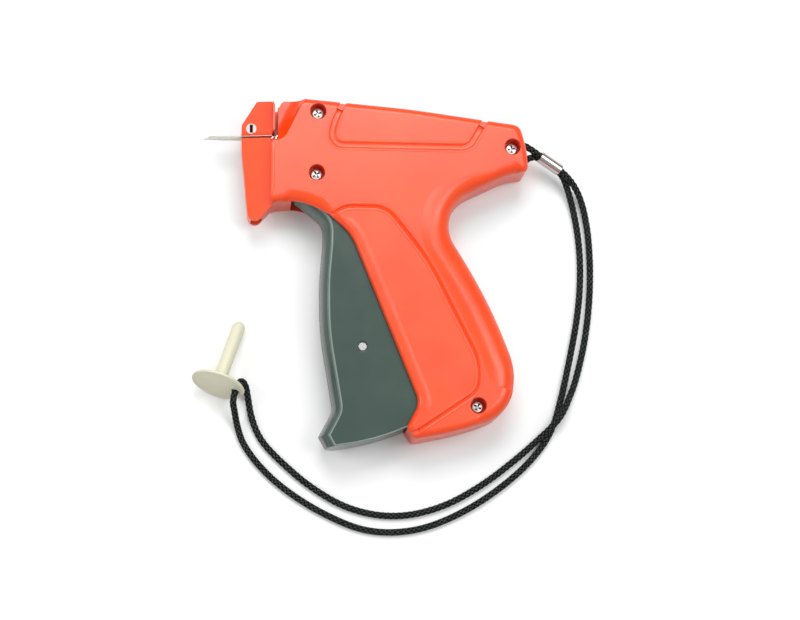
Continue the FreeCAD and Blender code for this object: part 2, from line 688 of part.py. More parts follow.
def housing_screws():
    """Four pan-head screws with cross recesses, as one group."""
    seat = NEAR - size("screw_seat_depth")
    head_r, head_h = size("screw_head_diameter") / 2, size("screw_head_height")
    shank_r = size("screw_shank_diameter") / 2
    corners = [(0, SCREW_END + 0.2), (shank_r, SCREW_END + 0.2), (shank_r, seat), (head_r, seat),
               (head_r, seat + 0.45 * head_h), (0.8 * head_r, seat + 0.86 * head_h), (0, seat + head_h)]
    outline = Part.makePolygon([Vector(x, 0, z) for x, z in corners + corners[:1]])
    blank = Part.Face(outline).revolve(Vector(0, 0, 0), Z, 360)
    slot_width, slot_length, slot_depth = size("screw_slot_width"), 1.24 * head_r, 0.7 * head_h
    for turn in (0, 90):
        slot = Part.makeBox(slot_length, slot_width, 5, Vector(-slot_length / 2, -slot_width / 2,
                                                               seat + head_h - slot_depth))
        slot.rotate(Vector(0, 0, 0), Z, turn)
        blank = blank.cut(slot)
    solids = []
    for (x, y), twist in zip(SCREWS, (20, 35, 8, 60)):
        screw = blank.copy()
        screw.rotate(Vector(0, 0, 0), Z, twist)
        screw.translate(Vector(x, y, 0))
        solids.append(screw)
    return feature("housing_screws", Part.makeCompound(solids))


# ---------------------------------------------------------------- needle, lock and blade
def needle():
    """The slotted steel tube with its bevelled point."""
    length = size("needle_rear_x") - size("needle_tip_x")
    tube = cylinder("needle_tube", size("needle_tip_x"), NEEDLE_Y, MID, length, "[needle_diameter]",
                    ALONG_X)
    bore = cylinder("needle_bore", size("needle_tip_x") - 1, NEEDLE_Y, MID, length + 2, "[needle_bore]",
                    ALONG_X)
    half = size("needle_slot") / 2
    slot = box("needle_slot", (size("needle_tip_x") - 1, size("needle_rear_x") + 1),
               (NEEDLE_Y - half, NEEDLE_Y + half), (MID, MID + 3))
    tip = size("needle_tip_x")
    radius = size("needle_diameter") / 2
    slant = size("needle_bevel")
    above = NEEDLE_Y + 3 * radius
    cut_away = polygon([(tip - radius, above), (tip - radius, NEEDLE_Y - 1.2 * radius),
                        (tip, NEEDLE_Y - 0.86 * radius), (tip + 0.52 * slant, NEEDLE_Y + 0.76 * radius),
                        (tip + slant, above)])
    bevel = prism("needle_bevel", cut_away, MID - 3 * radius, 6 * radius)
    return cut("needle", tube, [bore, slot, bevel])


def needle_base():
    """The flat foot that the tube is brazed to, notched for the lock pin."""
    top = MID - size("needle_diameter") / 2
    low = top - size("needle_base_depth")
    foot = box("needle_foot", BASE_X, BASE_Y, (low, top + 0.35))
    groove = cylinder("foot_groove", BASE_X[0] - 1, NEEDLE_Y, MID, BASE_X[1] - BASE_X[0] + 2,
                      "[needle_diameter]", ALONG_X)
    notch = cylinder("foot_notch", size("lock_x"), size("lock_y"), low - 1, 10, "[lock_shaft_diameter]+0.6")
    return cut("needle_base", foot, [groove, notch])


def needle_lock():
    """The quarter-turn cam pin with a slotted head in the nose cap."""
    x, y = size("lock_x"), size("lock_y")
    slope = (size("nose_rear_depth") - size("nose_front_depth")) / 2 / (size("nose_step_x") + 27.5)
    top = MID + size("nose_front_depth") / 2 + slope * (x + 27.5) + 0.1
    head = cylinder("lock_head", x, y, LOCK_HEAD_LOW + 0.05, top - LOCK_HEAD_LOW - 0.05,
                    "[lock_head_diameter]")
    shaft = cylinder("lock_shaft", x, y, MID - 4.0, LOCK_HEAD_LOW - MID + 4.5, "[lock_shaft_diameter]")
    half_width, half_length = size("lock_slot_width") / 2, size("lock_slot_length") / 2
    slot = box("lock_slot", (x - half_width, x + half_width), (y - half_length, y + half_length),
               (top - size("lock_slot_depth"), top + 2))
    flat = box("lock_flat", (x - 4, x + 4), (y + 0.9, y + 4), (MID - 5, MID - 0.9))
    return cut("needle_lock", fused("lock_pin", [head, shaft]), [slot, flat])


def cutter_blade():
    """The small blade behind the needle that severs each fastener's neck, with two upturned edges."""
    plate = prism("blade_plate", polygon(BLADE), MID + 1.2, "[blade_thickness]")
    edges = [prism("blade_edge_%d" % (number + 1), polygon([(x, 23.5), (x + 0.6, 23.5), (x + 1.0, 24.05),
                                                            (x + 0.4, 24.05)]), MID + 1.2, 5.6)
             for number, x in enumerate((-14.9, -13.5))]
    return fused("cutter_blade", [plate] + edges)


# ---------------------------------------------------------------- trigger
REACH = size("trigger_reach")
PIN_RING_DEPTH = 0.4                                 # the sunk ring round each end of the drive pin
TRIGGER_OUTLINE = [
    ("tongue", -5.3, -3.6, 0),
    ("tongue_low", -2.6, -5.4, 1.2),
    ("brow", 7.35, -13.9, 7.0),
    ("finger_top", 7.6, -21.0, 60.0),
    ("finger", 6.1, -38.0, 120.0),
    ("front", 6.3, -60.0, 120.0),
    ("front_low", 11.9, 16.5 - REACH, 6.0),
    ("toe", 6.0, 5.2 - REACH, 0),
    ("toe_low", 10.2, -2.2 - REACH, 0),
    ("rear_low", 46.6, 7.6 - REACH, 0),
    ("rear_bulge", 50.9, 19.7 - REACH, 8.0),
    ("rear_top", 21.8, -17.2, 18.0),
    ("rear_neck", 12.5, -8.4, 6.0),
    ("hub", 3.9, -0.6, 1.0),
]
FINGER_FACE = ("tongue_low_side", "brow", "brow_side", "finger_top", "finger_top_side", "finger",
               "finger_side", "front", "front_side", "front_low", "front_low_side", "toe_side")


def trigger():
    """A moulded U section: bevelled finger face, two side plates, hub across the top, rib at the toe."""
    width = size("trigger_width")
    z_low = MID - width / 2
    curves = corner_outline(TRIGGER_OUTLINE)
    block = prism("trigger_block", [curve for _, curve in curves], z_low, "[trigger_width]")
    arc = cylinder("trigger_arc", 0, 0, z_low, "[trigger_width]", "2*[trigger_reach]")
    swept = common("trigger_swept", block, arc)
    doc.recompute()
    bevel = doc.addObject("Part::Chamfer", "trigger_bevel")
    bevel.Base = swept
    edges = []
    for name, curve in curves:
        if name in FINGER_FACE:
            middle = curve.value(curve.FirstParameter * 0.6 + curve.LastParameter * 0.4)
            for z in (z_low, z_low + width):
                probe = Part.Vertex(middle.x, middle.y, z)
                distances = [edge.distToShape(probe)[0] for edge in swept.Shape.Edges]
                edges.append((distances.index(min(distances)) + 1, size("trigger_bevel_wide"),
                              size("trigger_bevel_deep")))
    bevel.Edges = edges
    wall, plate = size("trigger_front_wall"), size("trigger_plate")
    inside = corner_outline([
        ("top", 12.0, -12.5, 2.0), ("front_top", 7.4 + wall, -22.0, 8.0),
        ("front", 6.3 + wall, -52.0, 200.0), ("front_low", 11.8 + wall, 18.0 - REACH, 7.0),
        ("toe", 14.5, 7.5 - REACH, 2.0),
        ("low", 40.0, 12.5 - REACH, 100.0), ("low_rear", 60.0, 24.0 - REACH, 0), ("far", 60.0, -20.0, 0),
        ("rear", 24.0, -4.0, 0)])
    pocket = prism("trigger_pocket", [curve for _, curve in inside], z_low + plate,
                   "[trigger_width]-2*[trigger_plate]")
    hub = cylinder("trigger_hub", 0, 0, z_low, "[trigger_width]", "[trigger_hub_diameter]")
    bore = cylinder("trigger_bore", 0, 0, z_low - 1, width + 2, "[pivot_pin_diameter]+2*[running_gap]")
    pin_hole = cylinder("drive_pin_hole", DRIVE_PIN[0], DRIVE_PIN[1], z_low - 1, width + 2,
                        "[drive_pin_diameter]")
    rings = [cylinder("pin_ring_%d" % (i + 1), DRIVE_PIN[0], DRIVE_PIN[1], z, PIN_RING_DEPTH + 1,
                      "[drive_pin_diameter]+1.0")
             for i, z in enumerate((z_low - 1, z_low + width - PIN_RING_DEPTH))]
    hollow = cut("trigger_hollow", bevel, [pocket])
    return cut("trigger", fused("trigger_with_hub", [hollow, hub]), [bore, pin_hole] + rings)


def round_pin(name, centre, z_low, z_high, diameter):
    """A plain steel pin with chamfered ends."""
    body = cylinder(name + "_rod", centre[0], centre[1], z_low, z_high - z_low, diameter)
    doc.recompute()
    bevel = doc.addObject("Part::Chamfer", name)
    bevel.Base = body
    bevel.Edges = [(i + 1, 0.25, 0.25) for i, edge in enumerate(body.Shape.Edges) if edge.Closed
                   and isinstance(edge.Curve, Part.Circle)]
    return bevel


# ---------------------------------------------------------------- lever and slide
def drive_lever():
    """The bent lever: eye for the slide pin, fulcrum hub, and a lower arm with the cam slot."""
    z_low = MID - size("lever_depth") / 2
    near_end, middle, far_end = cam_point(SQUEEZE), cam_point(SQUEEZE / 2), cam_point(0.0)
    half_slot = size("drive_pin_diameter") / 2 + size("cam_gap")
    track = Part.Wire([Part.Arc(Vector(*near_end, 0), Vector(*middle, 0), Vector(*far_end, 0)).toShape()])
    slot_wire = track.makeOffset2D(half_slot, 0, False, False, True)
    slot = feature("cam_slot", Part.Face(slot_wire).extrude(Z * 20))
    slot.Placement.Base = Vector(0, 0, z_low - 5)
    arm_half = half_slot + size("lever_web")
    arm_wire = track.makeOffset2D(arm_half, 0, False, False, True)
    arm = feature("cam_arm", Part.Face(arm_wire).extrude(Z * size("lever_depth")))
    arm.Placement.Base = Vector(0, 0, z_low)
    hub = cylinder("lever_hub", FULCRUM[0], FULCRUM[1], z_low, "[lever_depth]", "[lever_hub_diameter]")
    hub_link = limb("lever_link", FULCRUM, size("lever_link_width") / 2, near_end, arm_half, z_low)
    eye_radius = size("slide_pin_diameter") / 2 + 1.7
    upper_half = size("lever_upper_width") / 2
    upper = limb("lever_upper", FULCRUM, upper_half, SLIDE_PIN, eye_radius - 0.05, z_low,
                 rear=(0.36 * upper_half, 0.52 * upper_half))
    eye = cylinder("lever_eye", SLIDE_PIN[0], SLIDE_PIN[1], z_low, "[lever_depth]", 2 * eye_radius)
    stub = cylinder("spring_stub", SPRING_EYE[0], SPRING_EYE[1], z_low, SPRING_Z + 1.2 - z_low,
                    "[spring_stub_diameter]")
    through = size("lever_depth") + 2
    bores = [cylinder("lever_bore", FULCRUM[0], FULCRUM[1], z_low - 1, through,
                      "[pivot_pin_diameter]+2*[running_gap]"),
             cylinder("eye_bore", SLIDE_PIN[0], SLIDE_PIN[1], z_low - 1, through, "[slide_pin_diameter]")]
    return cut("drive_lever", fused("lever_blank", [hub, hub_link, arm, upper, eye, stub]), bores + [slot])


def limb(name, first, first_half, second, second_half, z_low, rear=None):
    """A tapered bar between two round ends; rear gives other half widths for its right-hand side."""
    rear_first, rear_second = rear or (first_half, second_half)
    along = Vector(second[0] - first[0], second[1] - first[1], 0).normalize()
    across = Vector(-along.y, along.x, 0)
    a, b = Vector(first[0], first[1], 0), Vector(second[0], second[1], 0)
    corners = [a + across * first_half, a - across * rear_first,
               b - across * rear_second, b + across * second_half]
    return prism(name, polygon([(p.x, p.y) for p in corners]), z_low, "[lever_depth]")


SPRING_ALONG = size("spring_lever_arm") / ARM        # the spring hook's place along the upper arm
SPRING_EYE = (FULCRUM[0] + (SLIDE_PIN[0] - FULCRUM[0]) * SPRING_ALONG,
              FULCRUM[1] + (SLIDE_PIN[1] - FULCRUM[1]) * SPRING_ALONG)


def slide():
    """The block that carries the ejector rod, forked round the lever's eye."""
    x, low = SLIDE_PIN[0], size("slide_low_y")
    high = low + size("slide_height")
    half_length, half_depth = size("slide_length") / 2, size("slide_depth") / 2
    block = box("slide_block", (x - half_length, x + half_length), (low, high),
                (MID - half_depth, MID + half_depth))
    fork_half = size("lever_depth") / 2 + 0.4
    fork = box("slide_fork", (x - 6.6, x + 6.6), (low - 1, high - 1.1), (MID - fork_half, MID + fork_half))
    slot_half = size("slide_pin_diameter") / 2 + size("cam_gap")
    highest = FULCRUM[1] + ARM + slot_half
    slot = box("slide_pin_slot", (x - slot_half, x + slot_half), (low - 1, highest), (0, NEAR))
    rod_hole = cylinder("slide_rod_hole", x - half_length - 1, NEEDLE_Y, MID, half_length - 6.6 + 2,
                        "[rod_diameter]", ALONG_X)
    return cut("slide", block, [fork, slot, rod_hole])


def ejector_rod():
    """The thin rod that pushes each fastener through the needle."""
    start = FEED_X + size("clip_channel_length") / 2 + 0.3
    stop = SLIDE_PIN[0] - 6.8
    return cylinder("ejector_rod", start, NEEDLE_Y, MID, stop - start, "[rod_diameter]", ALONG_X)


def return_spring():
    """An extension spring from the lever's stub to the post in the barrel, bent from one wire."""
    wire_r = size("spring_wire") / 2
    coil_r = size("spring_diameter") / 2 - wire_r
    hook_r = size("spring_stub_diameter") / 2 + 0.3 + wire_r
    start, stop = Vector(*SPRING_EYE, SPRING_Z), Vector(*SPRING_POST, SPRING_Z)
    span = (stop - start).Length
    neck = hook_r + 1.4                              # from a hook's centre to the coil
    per_turn, turns = 10, int(size("spring_coils"))

    def hook(centre, sign):
        """Nearly a full turn round the centre that ends on the middle line, toward the coil."""
        angles = [math.radians(60 + 30 * i) for i in range(11)]
        return [Vector(hook_r * math.sin(a), 0, centre + sign * hook_r * math.cos(a)) for a in angles]

    coil = []
    for i in range(per_turn * turns + 1):
        angle = 2 * math.pi * i / per_turn
        height = neck + (span - 2 * neck) * i / (per_turn * turns)
        coil.append(Vector(coil_r * math.cos(angle), coil_r * math.sin(angle), height))
    line = hook(0.0, 1) + coil + hook(span, -1)[::-1]
    ring = Part.makePolygon([turned_spoke(line[0], line[1] - line[0], wire_r, i * 60.0) for i in range(7)])
    spring = feature("return_spring", Part.makePolygon(line).makePipeShell([ring], True, False, 1))
    axis = (stop - start).normalize()
    turn = Rotation(Vector(axis.y, -axis.x, 0), Vector(0, 0, 1), axis, "ZYX")
    spring.Placement = Placement(start, turn)
    return spring


# ---------------------------------------------------------------- feed wheel
def feed_wheel():
    """The toothed wheel that draws the clip down; every quarter turn puts a gap over the leaf."""
    teeth = int(size("wheel_teeth"))
    tip_r, root_r = size("wheel_tip_radius"), size("wheel_root_radius")
    pitch = 2 * math.pi / teeth
    curves = []
    for tooth in range(teeth):
        middle = (tooth + 0.5) * pitch
        corners = [(root_r, middle - 0.26 * pitch), (tip_r, middle - 0.11 * pitch),
                   (tip_r, middle + 0.11 * pitch), (root_r, middle + 0.26 * pitch),
                   (root_r, middle + 0.74 * pitch)]
        points = [Vector(r * math.cos(a), r * math.sin(a), 0) for r, a in corners]
        curves += [Part.LineSegment(points[i], points[i + 1]) for i in range(4)]
    left_x = size("wheel_x") - size("wheel_width") / 2
    place = Placement(Vector(left_x, size("wheel_y"), size("wheel_depth_z")), ALONG_X)
    disc = extrusion("wheel_disc", sketch("wheel_disc", curves, place), Vector(1, 0, 0), "[wheel_width]")
    bore = cylinder("wheel_bore", size("wheel_x") - 5, size("wheel_y"), size("wheel_depth_z"), 10,
                    "[wheel_shaft_diameter]+2*[running_gap]", ALONG_X)
    return cut("feed_wheel", disc, [bore])


def feed_shaft():
    return cylinder("feed_shaft", size("wheel_x") - 2.6, size("wheel_y"), size("wheel_depth_z"), 8.8,
                    "[wheel_shaft_diameter]", ALONG_X)


def check_spring():
    """The leaf that stops the wheel from turning back, pressed in its slot."""
    return box("check_spring", (size("wheel_x") - 1.2, size("wheel_x") + 1.2), LEAF_Y, LEAF_Z)


# ---------------------------------------------------------------- lanyard
CRIMP_MIDDLE = Vector(106.1, 15.7, 11.6)
CRIMP_ALONG = Vector(0.832, -0.521, -0.190).normalize()
CRIMP_ACROSS = (Z - CRIMP_ALONG * Z.dot(CRIMP_ALONG)).normalize()
CORD_ROUTE = [
    (84.1, 19.8, 14.0), (84.1, 22.2, 14.0), (85.9, 24.0, 14.0), (90.0, 24.0, 14.0), (95.3, 22.9, 14.2),
    (100.8, 19.0, 14.3),
    (111.8, 12.1, 11.8), (118.2, 6.2, 6.4), (122.2, -3.0, 2.4), (124.4, -17.0, 1.5), (124.8, -36.0, 1.5),
    (122.9, -57.0, 1.5), (118.4, -77.0, 1.5), (114.4, -87.2, 2.4), (111.6, -93.0, 5.0),
    (108.4, -97.2, 5.0), (102.6, -102.8, 2.2), (93.0, -111.4, 1.5), (78.0, -123.2, 1.5), (60.0, -133.4, 1.5),
    (40.0, -137.9, 1.5), (20.0, -134.6, 1.5), (3.0, -124.8, 1.5), (-10.5, -113.1, 1.5),
    (-18.4, -104.6, 1.5), (-22.2, -95.4, 1.5), (-23.6, -87.4, 2.3), (-24.9, -80.6, 5.6),
    (-27.7, -79.9, 9.3), (-30.5, -88.6, 11.9), (-29.4, -93.4, 7.0), (-28.3, -98.6, 1.9), (-25.9, -106.2, 1.5),
    (-19.0, -115.8, 1.5), (-8.0, -126.0, 1.5), (9.0, -136.6, 1.5), (28.0, -144.3, 1.5),
    (49.0, -143.6, 1.5), (68.0, -136.0, 1.5), (85.0, -125.0, 1.5), (98.5, -113.0, 1.5), (107.4, -100.6, 1.5),
    (111.6, -86.0, 1.5), (116.0, -66.0, 1.5), (119.5, -47.0, 1.5), (120.6, -29.0, 1.5),
    (119.5, -13.5, 1.5), (117.2, -2.0, 2.1), (114.6, 6.0, 5.2), (111.4, 12.4, 8.9), (100.4, 19.3, 11.4),
    (95.0, 16.4, 13.3), (90.0, 15.0, 14.0), (85.9, 15.0, 14.0), (84.1, 16.8, 14.0), (84.1, 19.2, 14.0)]


def lanyard_cord():
    """The loop as one plain tube of many flat sides: straight runs joined by tangent arcs."""
    radius, sides = size("cord_diameter") / 2, int(size("cord_sides"))
    cord, length, radii = tube([Vector(*p) for p in CORD_ROUTE], radius, sides)
    section = sides / 2 * radius ** 2 * math.sin(2 * math.pi / sides)
    print("cord bend radii", [round(value, 1) for value in radii])
    print("cord length %.1f mm, volume ratio %.5f" % (length, cord.Volume / (section * length)))
    return feature("lanyard_cord", cord)


def cord_crimp():
    """The pressed metal sleeve that holds both strands, one above the other."""
    strand = size("cord_diameter") / 2
    wall, spread = size("crimp_wall"), size("cord_diameter") / 2 + 0.05

    def sleeve(name, radius, length):
        right_top, right_low = Vector(spread, radius, 0), Vector(spread, -radius, 0)
        left_top, left_low = Vector(-spread, radius, 0), Vector(-spread, -radius, 0)
        curves = [Part.LineSegment(left_top, right_top),
                  Part.Arc(right_top, Vector(spread + radius, 0, 0), right_low),
                  Part.LineSegment(right_low, left_low),
                  Part.Arc(left_low, Vector(-spread - radius, 0, 0), left_top)]
        turn = Rotation(CRIMP_ACROSS, CRIMP_ALONG.cross(CRIMP_ACROSS), CRIMP_ALONG, "ZXY")
        place = Placement(CRIMP_MIDDLE - CRIMP_ALONG * (length / 2), turn)
        return extrusion(name, sketch(name, curves, place), CRIMP_ALONG, length)

    return cut("cord_crimp", sleeve("crimp_outside", strand + wall, size("crimp_length")),
               [sleeve("crimp_inside", strand, size("crimp_length") + 2)])


COVER_FOOT = Vector(-36.8, -82.5, 0)
COVER_AZIMUTH = 71.3
RIM_REST = 0.75                                      # share of the rim's width that touches the floor
COVER_HOLE_OUT = 7.9
COVER_HOLE_UP = 0.6


def cover_tilt():
    """Tilt at which the disc's rim and the shank's tip both rest on the floor."""
    disc_r, tip_r = size("cover_disc_diameter") / 2, size("cover_shank_diameter") / 2
    reach = size("cover_length") - tip_r - RIM_REST * size("cover_rim")
    return math.acos(tip_r / math.hypot(disc_r, reach)) - math.atan2(reach, disc_r)


def needle_cover():
    """The cream cap that protects the needle: a disc with a shank, revolved and drilled."""
    disc_r, shank_r = size("cover_disc_diameter") / 2, size("cover_shank_diameter") / 2
    length, rim = size("cover_length"), size("cover_rim")
    v = Vector
    corners = [v(0, 0, 0.35), v(0.86 * disc_r, 0, 0.35), v(disc_r - 0.3, 0, 0), v(disc_r, 0, 0.25 * rim),
               v(disc_r, 0, RIM_REST * rim), v(disc_r - 0.3, 0, rim), v(shank_r + 1.5, 0, rim + 1.3),
               v(shank_r + 0.5, 0, rim + 1.8), v(shank_r, 0, rim + 3.0)]
    tilt = cover_tilt()
    for angle in (0.0, tilt, math.radians(40), math.radians(62)):
        corners.append(v(shank_r * math.cos(angle), 0, length - shank_r + shank_r * math.sin(angle)))
    corners += [v(0, 0, corners[-1].z), corners[0]]
    body = Part.Face(Part.makePolygon(corners)).revolve(v(0, 0, 0), Z, 360)
    bore_r, bore_depth = size("cover_bore_diameter") / 2, size("cover_bore_depth")
    body = body.cut(Part.makeCylinder(bore_r, bore_depth + 1, v(0, 0, length - bore_depth)))
    hole = Part.makeCylinder(size("cover_hole_diameter") / 2, 12, v(COVER_HOLE_OUT, COVER_HOLE_UP, -3))
    body = body.cut(hole)
    azimuth = math.radians(COVER_AZIMUTH)
    along = v(math.cos(tilt) * math.cos(azimuth), math.cos(tilt) * math.sin(azimuth), -math.sin(tilt))
    sideways = v(math.sin(azimuth), -math.cos(azimuth), 0)
    turn = Rotation(sideways, along.cross(sideways), along, "ZXY")
    cover = feature("needle_cover", body)
    height = disc_r * math.cos(tilt) + RIM_REST * rim * math.sin(tilt)
    cover.Placement = Placement(v(COVER_FOOT.x, COVER_FOOT.y, height), turn)
    print("cover mouth", cover.Placement.multVec(v(0, 0, length)), "axis", along)
    return cover


# ---------------------------------------------------------------- build, check, write
blank = half_blank()
left_housing = near_half(blank)
right_housing = far_half(blank)
trigger_half = size("trigger_width") / 2
pin_half = size("slide_depth") / 2 - 0.2
pieces = [
    left_housing, right_housing, nose_cap(blank), housing_screws(),
    needle(), needle_base(), needle_lock(), cutter_blade(),
    trigger(),
    round_pin("trigger_pivot_pin", PIVOT, 1.6, NEAR - 1.6, "[pivot_pin_diameter]"),
    round_pin("lever_pivot_pin", FULCRUM, 1.6, NEAR - 1.6, "[pivot_pin_diameter]"),
    round_pin("drive_pin", DRIVE_PIN, MID - trigger_half, MID + trigger_half, "[drive_pin_diameter]"),
    round_pin("slide_pin", SLIDE_PIN, MID - pin_half, MID + pin_half, "[slide_pin_diameter]"),
    drive_lever(), slide(), ejector_rod(), return_spring(),
    feed_wheel(), feed_shaft(), check_spring(),
    lanyard_cord(), cord_crimp(), needle_cover()]
for piece in pieces:
    piece.Label = piece.Name
doc.recompute()

failed = [item.Name for item in doc.Objects if "Invalid" in item.State or "Error" in item.State]
if failed:
    raise RuntimeError("failed features: " + ", ".join(failed))
for piece in pieces:
    shape = piece.Shape
    if shape.isNull() or not shape.isValid():
        raise RuntimeError("bad shape: " + piece.Label)

os.makedirs("parts", exist_ok=True)
for piece in pieces:
    piece.Shape.exportStep("parts/%s.step" % piece.Label)
    print("%-20s %d solid(s), %.1f mm3" % (piece.Label, len(piece.Shape.Solids), piece.Shape.Volume))
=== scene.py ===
"""The looks of a garment tag attacher that lies on its side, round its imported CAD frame.

Metres, in the frame's own axes: +X from the needle to the rear, +Y from the grip up to the
barrel, +Z up from the floor through the thickness of the gun.
"""
import math

import bmesh
import bpy
from mathutils import Matrix, Vector


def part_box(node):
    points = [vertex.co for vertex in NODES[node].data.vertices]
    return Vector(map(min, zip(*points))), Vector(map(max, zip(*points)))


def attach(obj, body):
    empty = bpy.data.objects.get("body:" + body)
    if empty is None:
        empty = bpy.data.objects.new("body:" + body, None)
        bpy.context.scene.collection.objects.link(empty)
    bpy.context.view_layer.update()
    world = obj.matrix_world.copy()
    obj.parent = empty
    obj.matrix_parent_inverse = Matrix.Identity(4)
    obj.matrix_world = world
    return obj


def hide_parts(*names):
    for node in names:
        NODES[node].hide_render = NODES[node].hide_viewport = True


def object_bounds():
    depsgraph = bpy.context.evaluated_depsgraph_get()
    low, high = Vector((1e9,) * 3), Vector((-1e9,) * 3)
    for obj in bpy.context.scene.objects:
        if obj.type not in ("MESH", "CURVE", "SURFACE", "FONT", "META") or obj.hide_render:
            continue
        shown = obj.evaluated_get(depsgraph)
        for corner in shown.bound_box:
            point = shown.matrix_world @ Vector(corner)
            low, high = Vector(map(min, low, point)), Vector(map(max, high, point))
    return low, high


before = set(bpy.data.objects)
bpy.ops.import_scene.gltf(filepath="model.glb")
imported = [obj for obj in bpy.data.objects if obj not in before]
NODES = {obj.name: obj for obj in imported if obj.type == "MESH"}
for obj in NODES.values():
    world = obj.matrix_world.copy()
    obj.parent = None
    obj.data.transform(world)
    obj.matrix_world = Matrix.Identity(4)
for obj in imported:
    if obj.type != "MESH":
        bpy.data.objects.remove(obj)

CAD_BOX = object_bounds()
MM = 0.001
scene = bpy.context.scene


# ---------------------------------------------------------------- shader nodes
def node(tree, kind, inputs=(), **settings):
    """A shader node of that kind, with its settings, and its inputs set or linked by name."""
    made = tree.nodes.new(kind)
    for name, value in settings.items():
        setattr(made, name, value)
    for name, value in dict(inputs).items():
        if isinstance(value, bpy.types.NodeSocket):
            tree.links.new(value, made.inputs[name])
        else:
            made.inputs[name].default_value = value
    return made


def maths(tree, operation, *values, **settings):
    """What a math node makes of the values, each a number or a socket."""
    made = node(tree, "ShaderNodeMath", dict(enumerate(values)), operation=operation, **settings)
    return made.outputs[0]


def spaced(tree, value, start, end, low, high, **settings):
    """The value, from start to end, turned into low to high."""
    return node(tree, "ShaderNodeMapRange", {"Value": value, "From Min": start, "From Max": end,
                                             "To Min": low, "To Max": high},
                **settings).outputs["Result"]


def colour(red, green, blue):
    """A colour given as 0 to 255 on a screen, as the shader's own linear numbers."""
    def linear(value):
        share = value / 255
        return share / 12.92 if share <= 0.04045 else ((share + 0.055) / 1.055) ** 2.4
    return (linear(red), linear(green), linear(blue), 1.0)


def start_material(name, roughness, **fixed):
    """A material, its tree, its shader with those sockets set, and the object's coordinates."""
    made = bpy.data.materials.new(name)
    made.use_nodes = True
    tree = made.node_tree
    shader = tree.nodes["Principled BSDF"]
    shader.inputs["Roughness"].default_value = roughness
    for socket, value in fixed.items():
        shader.inputs[socket.replace("_", " ")].default_value = value
    where = node(tree, "ShaderNodeTexCoord").outputs["Object"]
    return made, tree, shader, where


# ---------------------------------------------------------------- camera, floor and light
EYE = Vector((-0.0427, -0.2319, 1.2498))
LOOKS_AT = Vector((0.0409, -0.0496, 0.0140))
TOP_OF_VIEW = Vector((0.0, 1.0, 0.0))
LENS = 131.5            # mm
SENSOR = 36.0           # mm, its width
NEAREST = 0.01          # m, what is nearer to the camera isn't drawn
WALLS = 0.36            # light from the surround at the horizon, where 1 is white
CEILING = 0.56          # and from straight above
WHITE = (1.0, 1.0, 1.0, 1.0)
TABLE_SIZE = 6.0        # m
TABLE_MIDDLE = (0.04, -0.05, -0.0002)   # a fifth of a millimetre under what lies on it
TABLE_TOP = (0.88, 0.88, 0.88, 1.0)
TABLE_ROUGHNESS, TABLE_GLOSS = 0.8, 0.1
LIFT_NEAR, LIFT_FAR = 0.3, 1.8          # m from the table's middle
NEAR_LIFT = 0.05        # glow that the camera sees in the floor beside the gun
FAR_LIFT = 0.75         # and far off, where the lamps no longer reach
AIM = (0.04, -0.03, 0.0)
LAMPS = (               # name, place, width in metres and power in watts
    ("key", (0.0, 0.44, 0.90), 0.46, 5.0),
    ("right_box", (0.50, 0.0, 0.88), 0.46, 3.2),
    ("left_box", (-0.66, 0.0, 0.60), 0.34, 2.1),
)


def add_camera():
    """The camera stands nearly over the gun, a little toward the grip's foot."""
    data = bpy.data.cameras.new("camera")
    data.lens = LENS
    data.sensor_width = SENSOR
    data.clip_start = NEAREST
    camera = bpy.data.objects.new("camera", data)
    forward = (LOOKS_AT - EYE).normalized()
    right = forward.cross(TOP_OF_VIEW).normalized()
    up = right.cross(forward)
    turned = Matrix((right, up, -forward)).transposed().to_4x4()
    camera.matrix_world = Matrix.Translation(EYE) @ turned
    scene.collection.objects.link(camera)
    scene.camera = camera


def add_lamp(name, place, size, power):
    """A square soft lamp at place that shines toward the gun."""
    data = bpy.data.lights.new(name, "AREA")
    data.shape = "SQUARE"
    data.size = size
    data.energy = power
    lamp = bpy.data.objects.new(name, data)
    lamp.location = place
    lamp.rotation_euler = (Vector(AIM) - Vector(place)).to_track_quat("-Z", "Y").to_euler()
    scene.collection.objects.link(lamp)


def add_world():
    """A studio's surround: a ceiling brighter than the walls, and plain white where it is seen."""
    world = bpy.data.worlds.new("surround")
    world.use_nodes = True
    tree = world.node_tree
    tree.nodes.clear()
    toward = node(tree, "ShaderNodeTexCoord").outputs["Generated"]
    height = node(tree, "ShaderNodeSeparateXYZ", {"Vector": toward}).outputs["Z"]
    level = spaced(tree, height, 0.0, 1.0, WALLS, CEILING)
    light = node(tree, "ShaderNodeBackground", {"Color": WHITE, "Strength": level})
    white = node(tree, "ShaderNodeBackground", {"Color": WHITE, "Strength": 1.0})
    rays = node(tree, "ShaderNodeLightPath").outputs
    seen = maths(tree, "MAXIMUM", rays["Is Camera Ray"], rays["Is Transmission Ray"])
    mix = node(tree, "ShaderNodeMixShader", {0: seen, 1: light.outputs[0], 2: white.outputs[0]})
    out = node(tree, "ShaderNodeOutputWorld")
    tree.links.new(mix.outputs[0], out.inputs["Surface"])
    scene.world = world


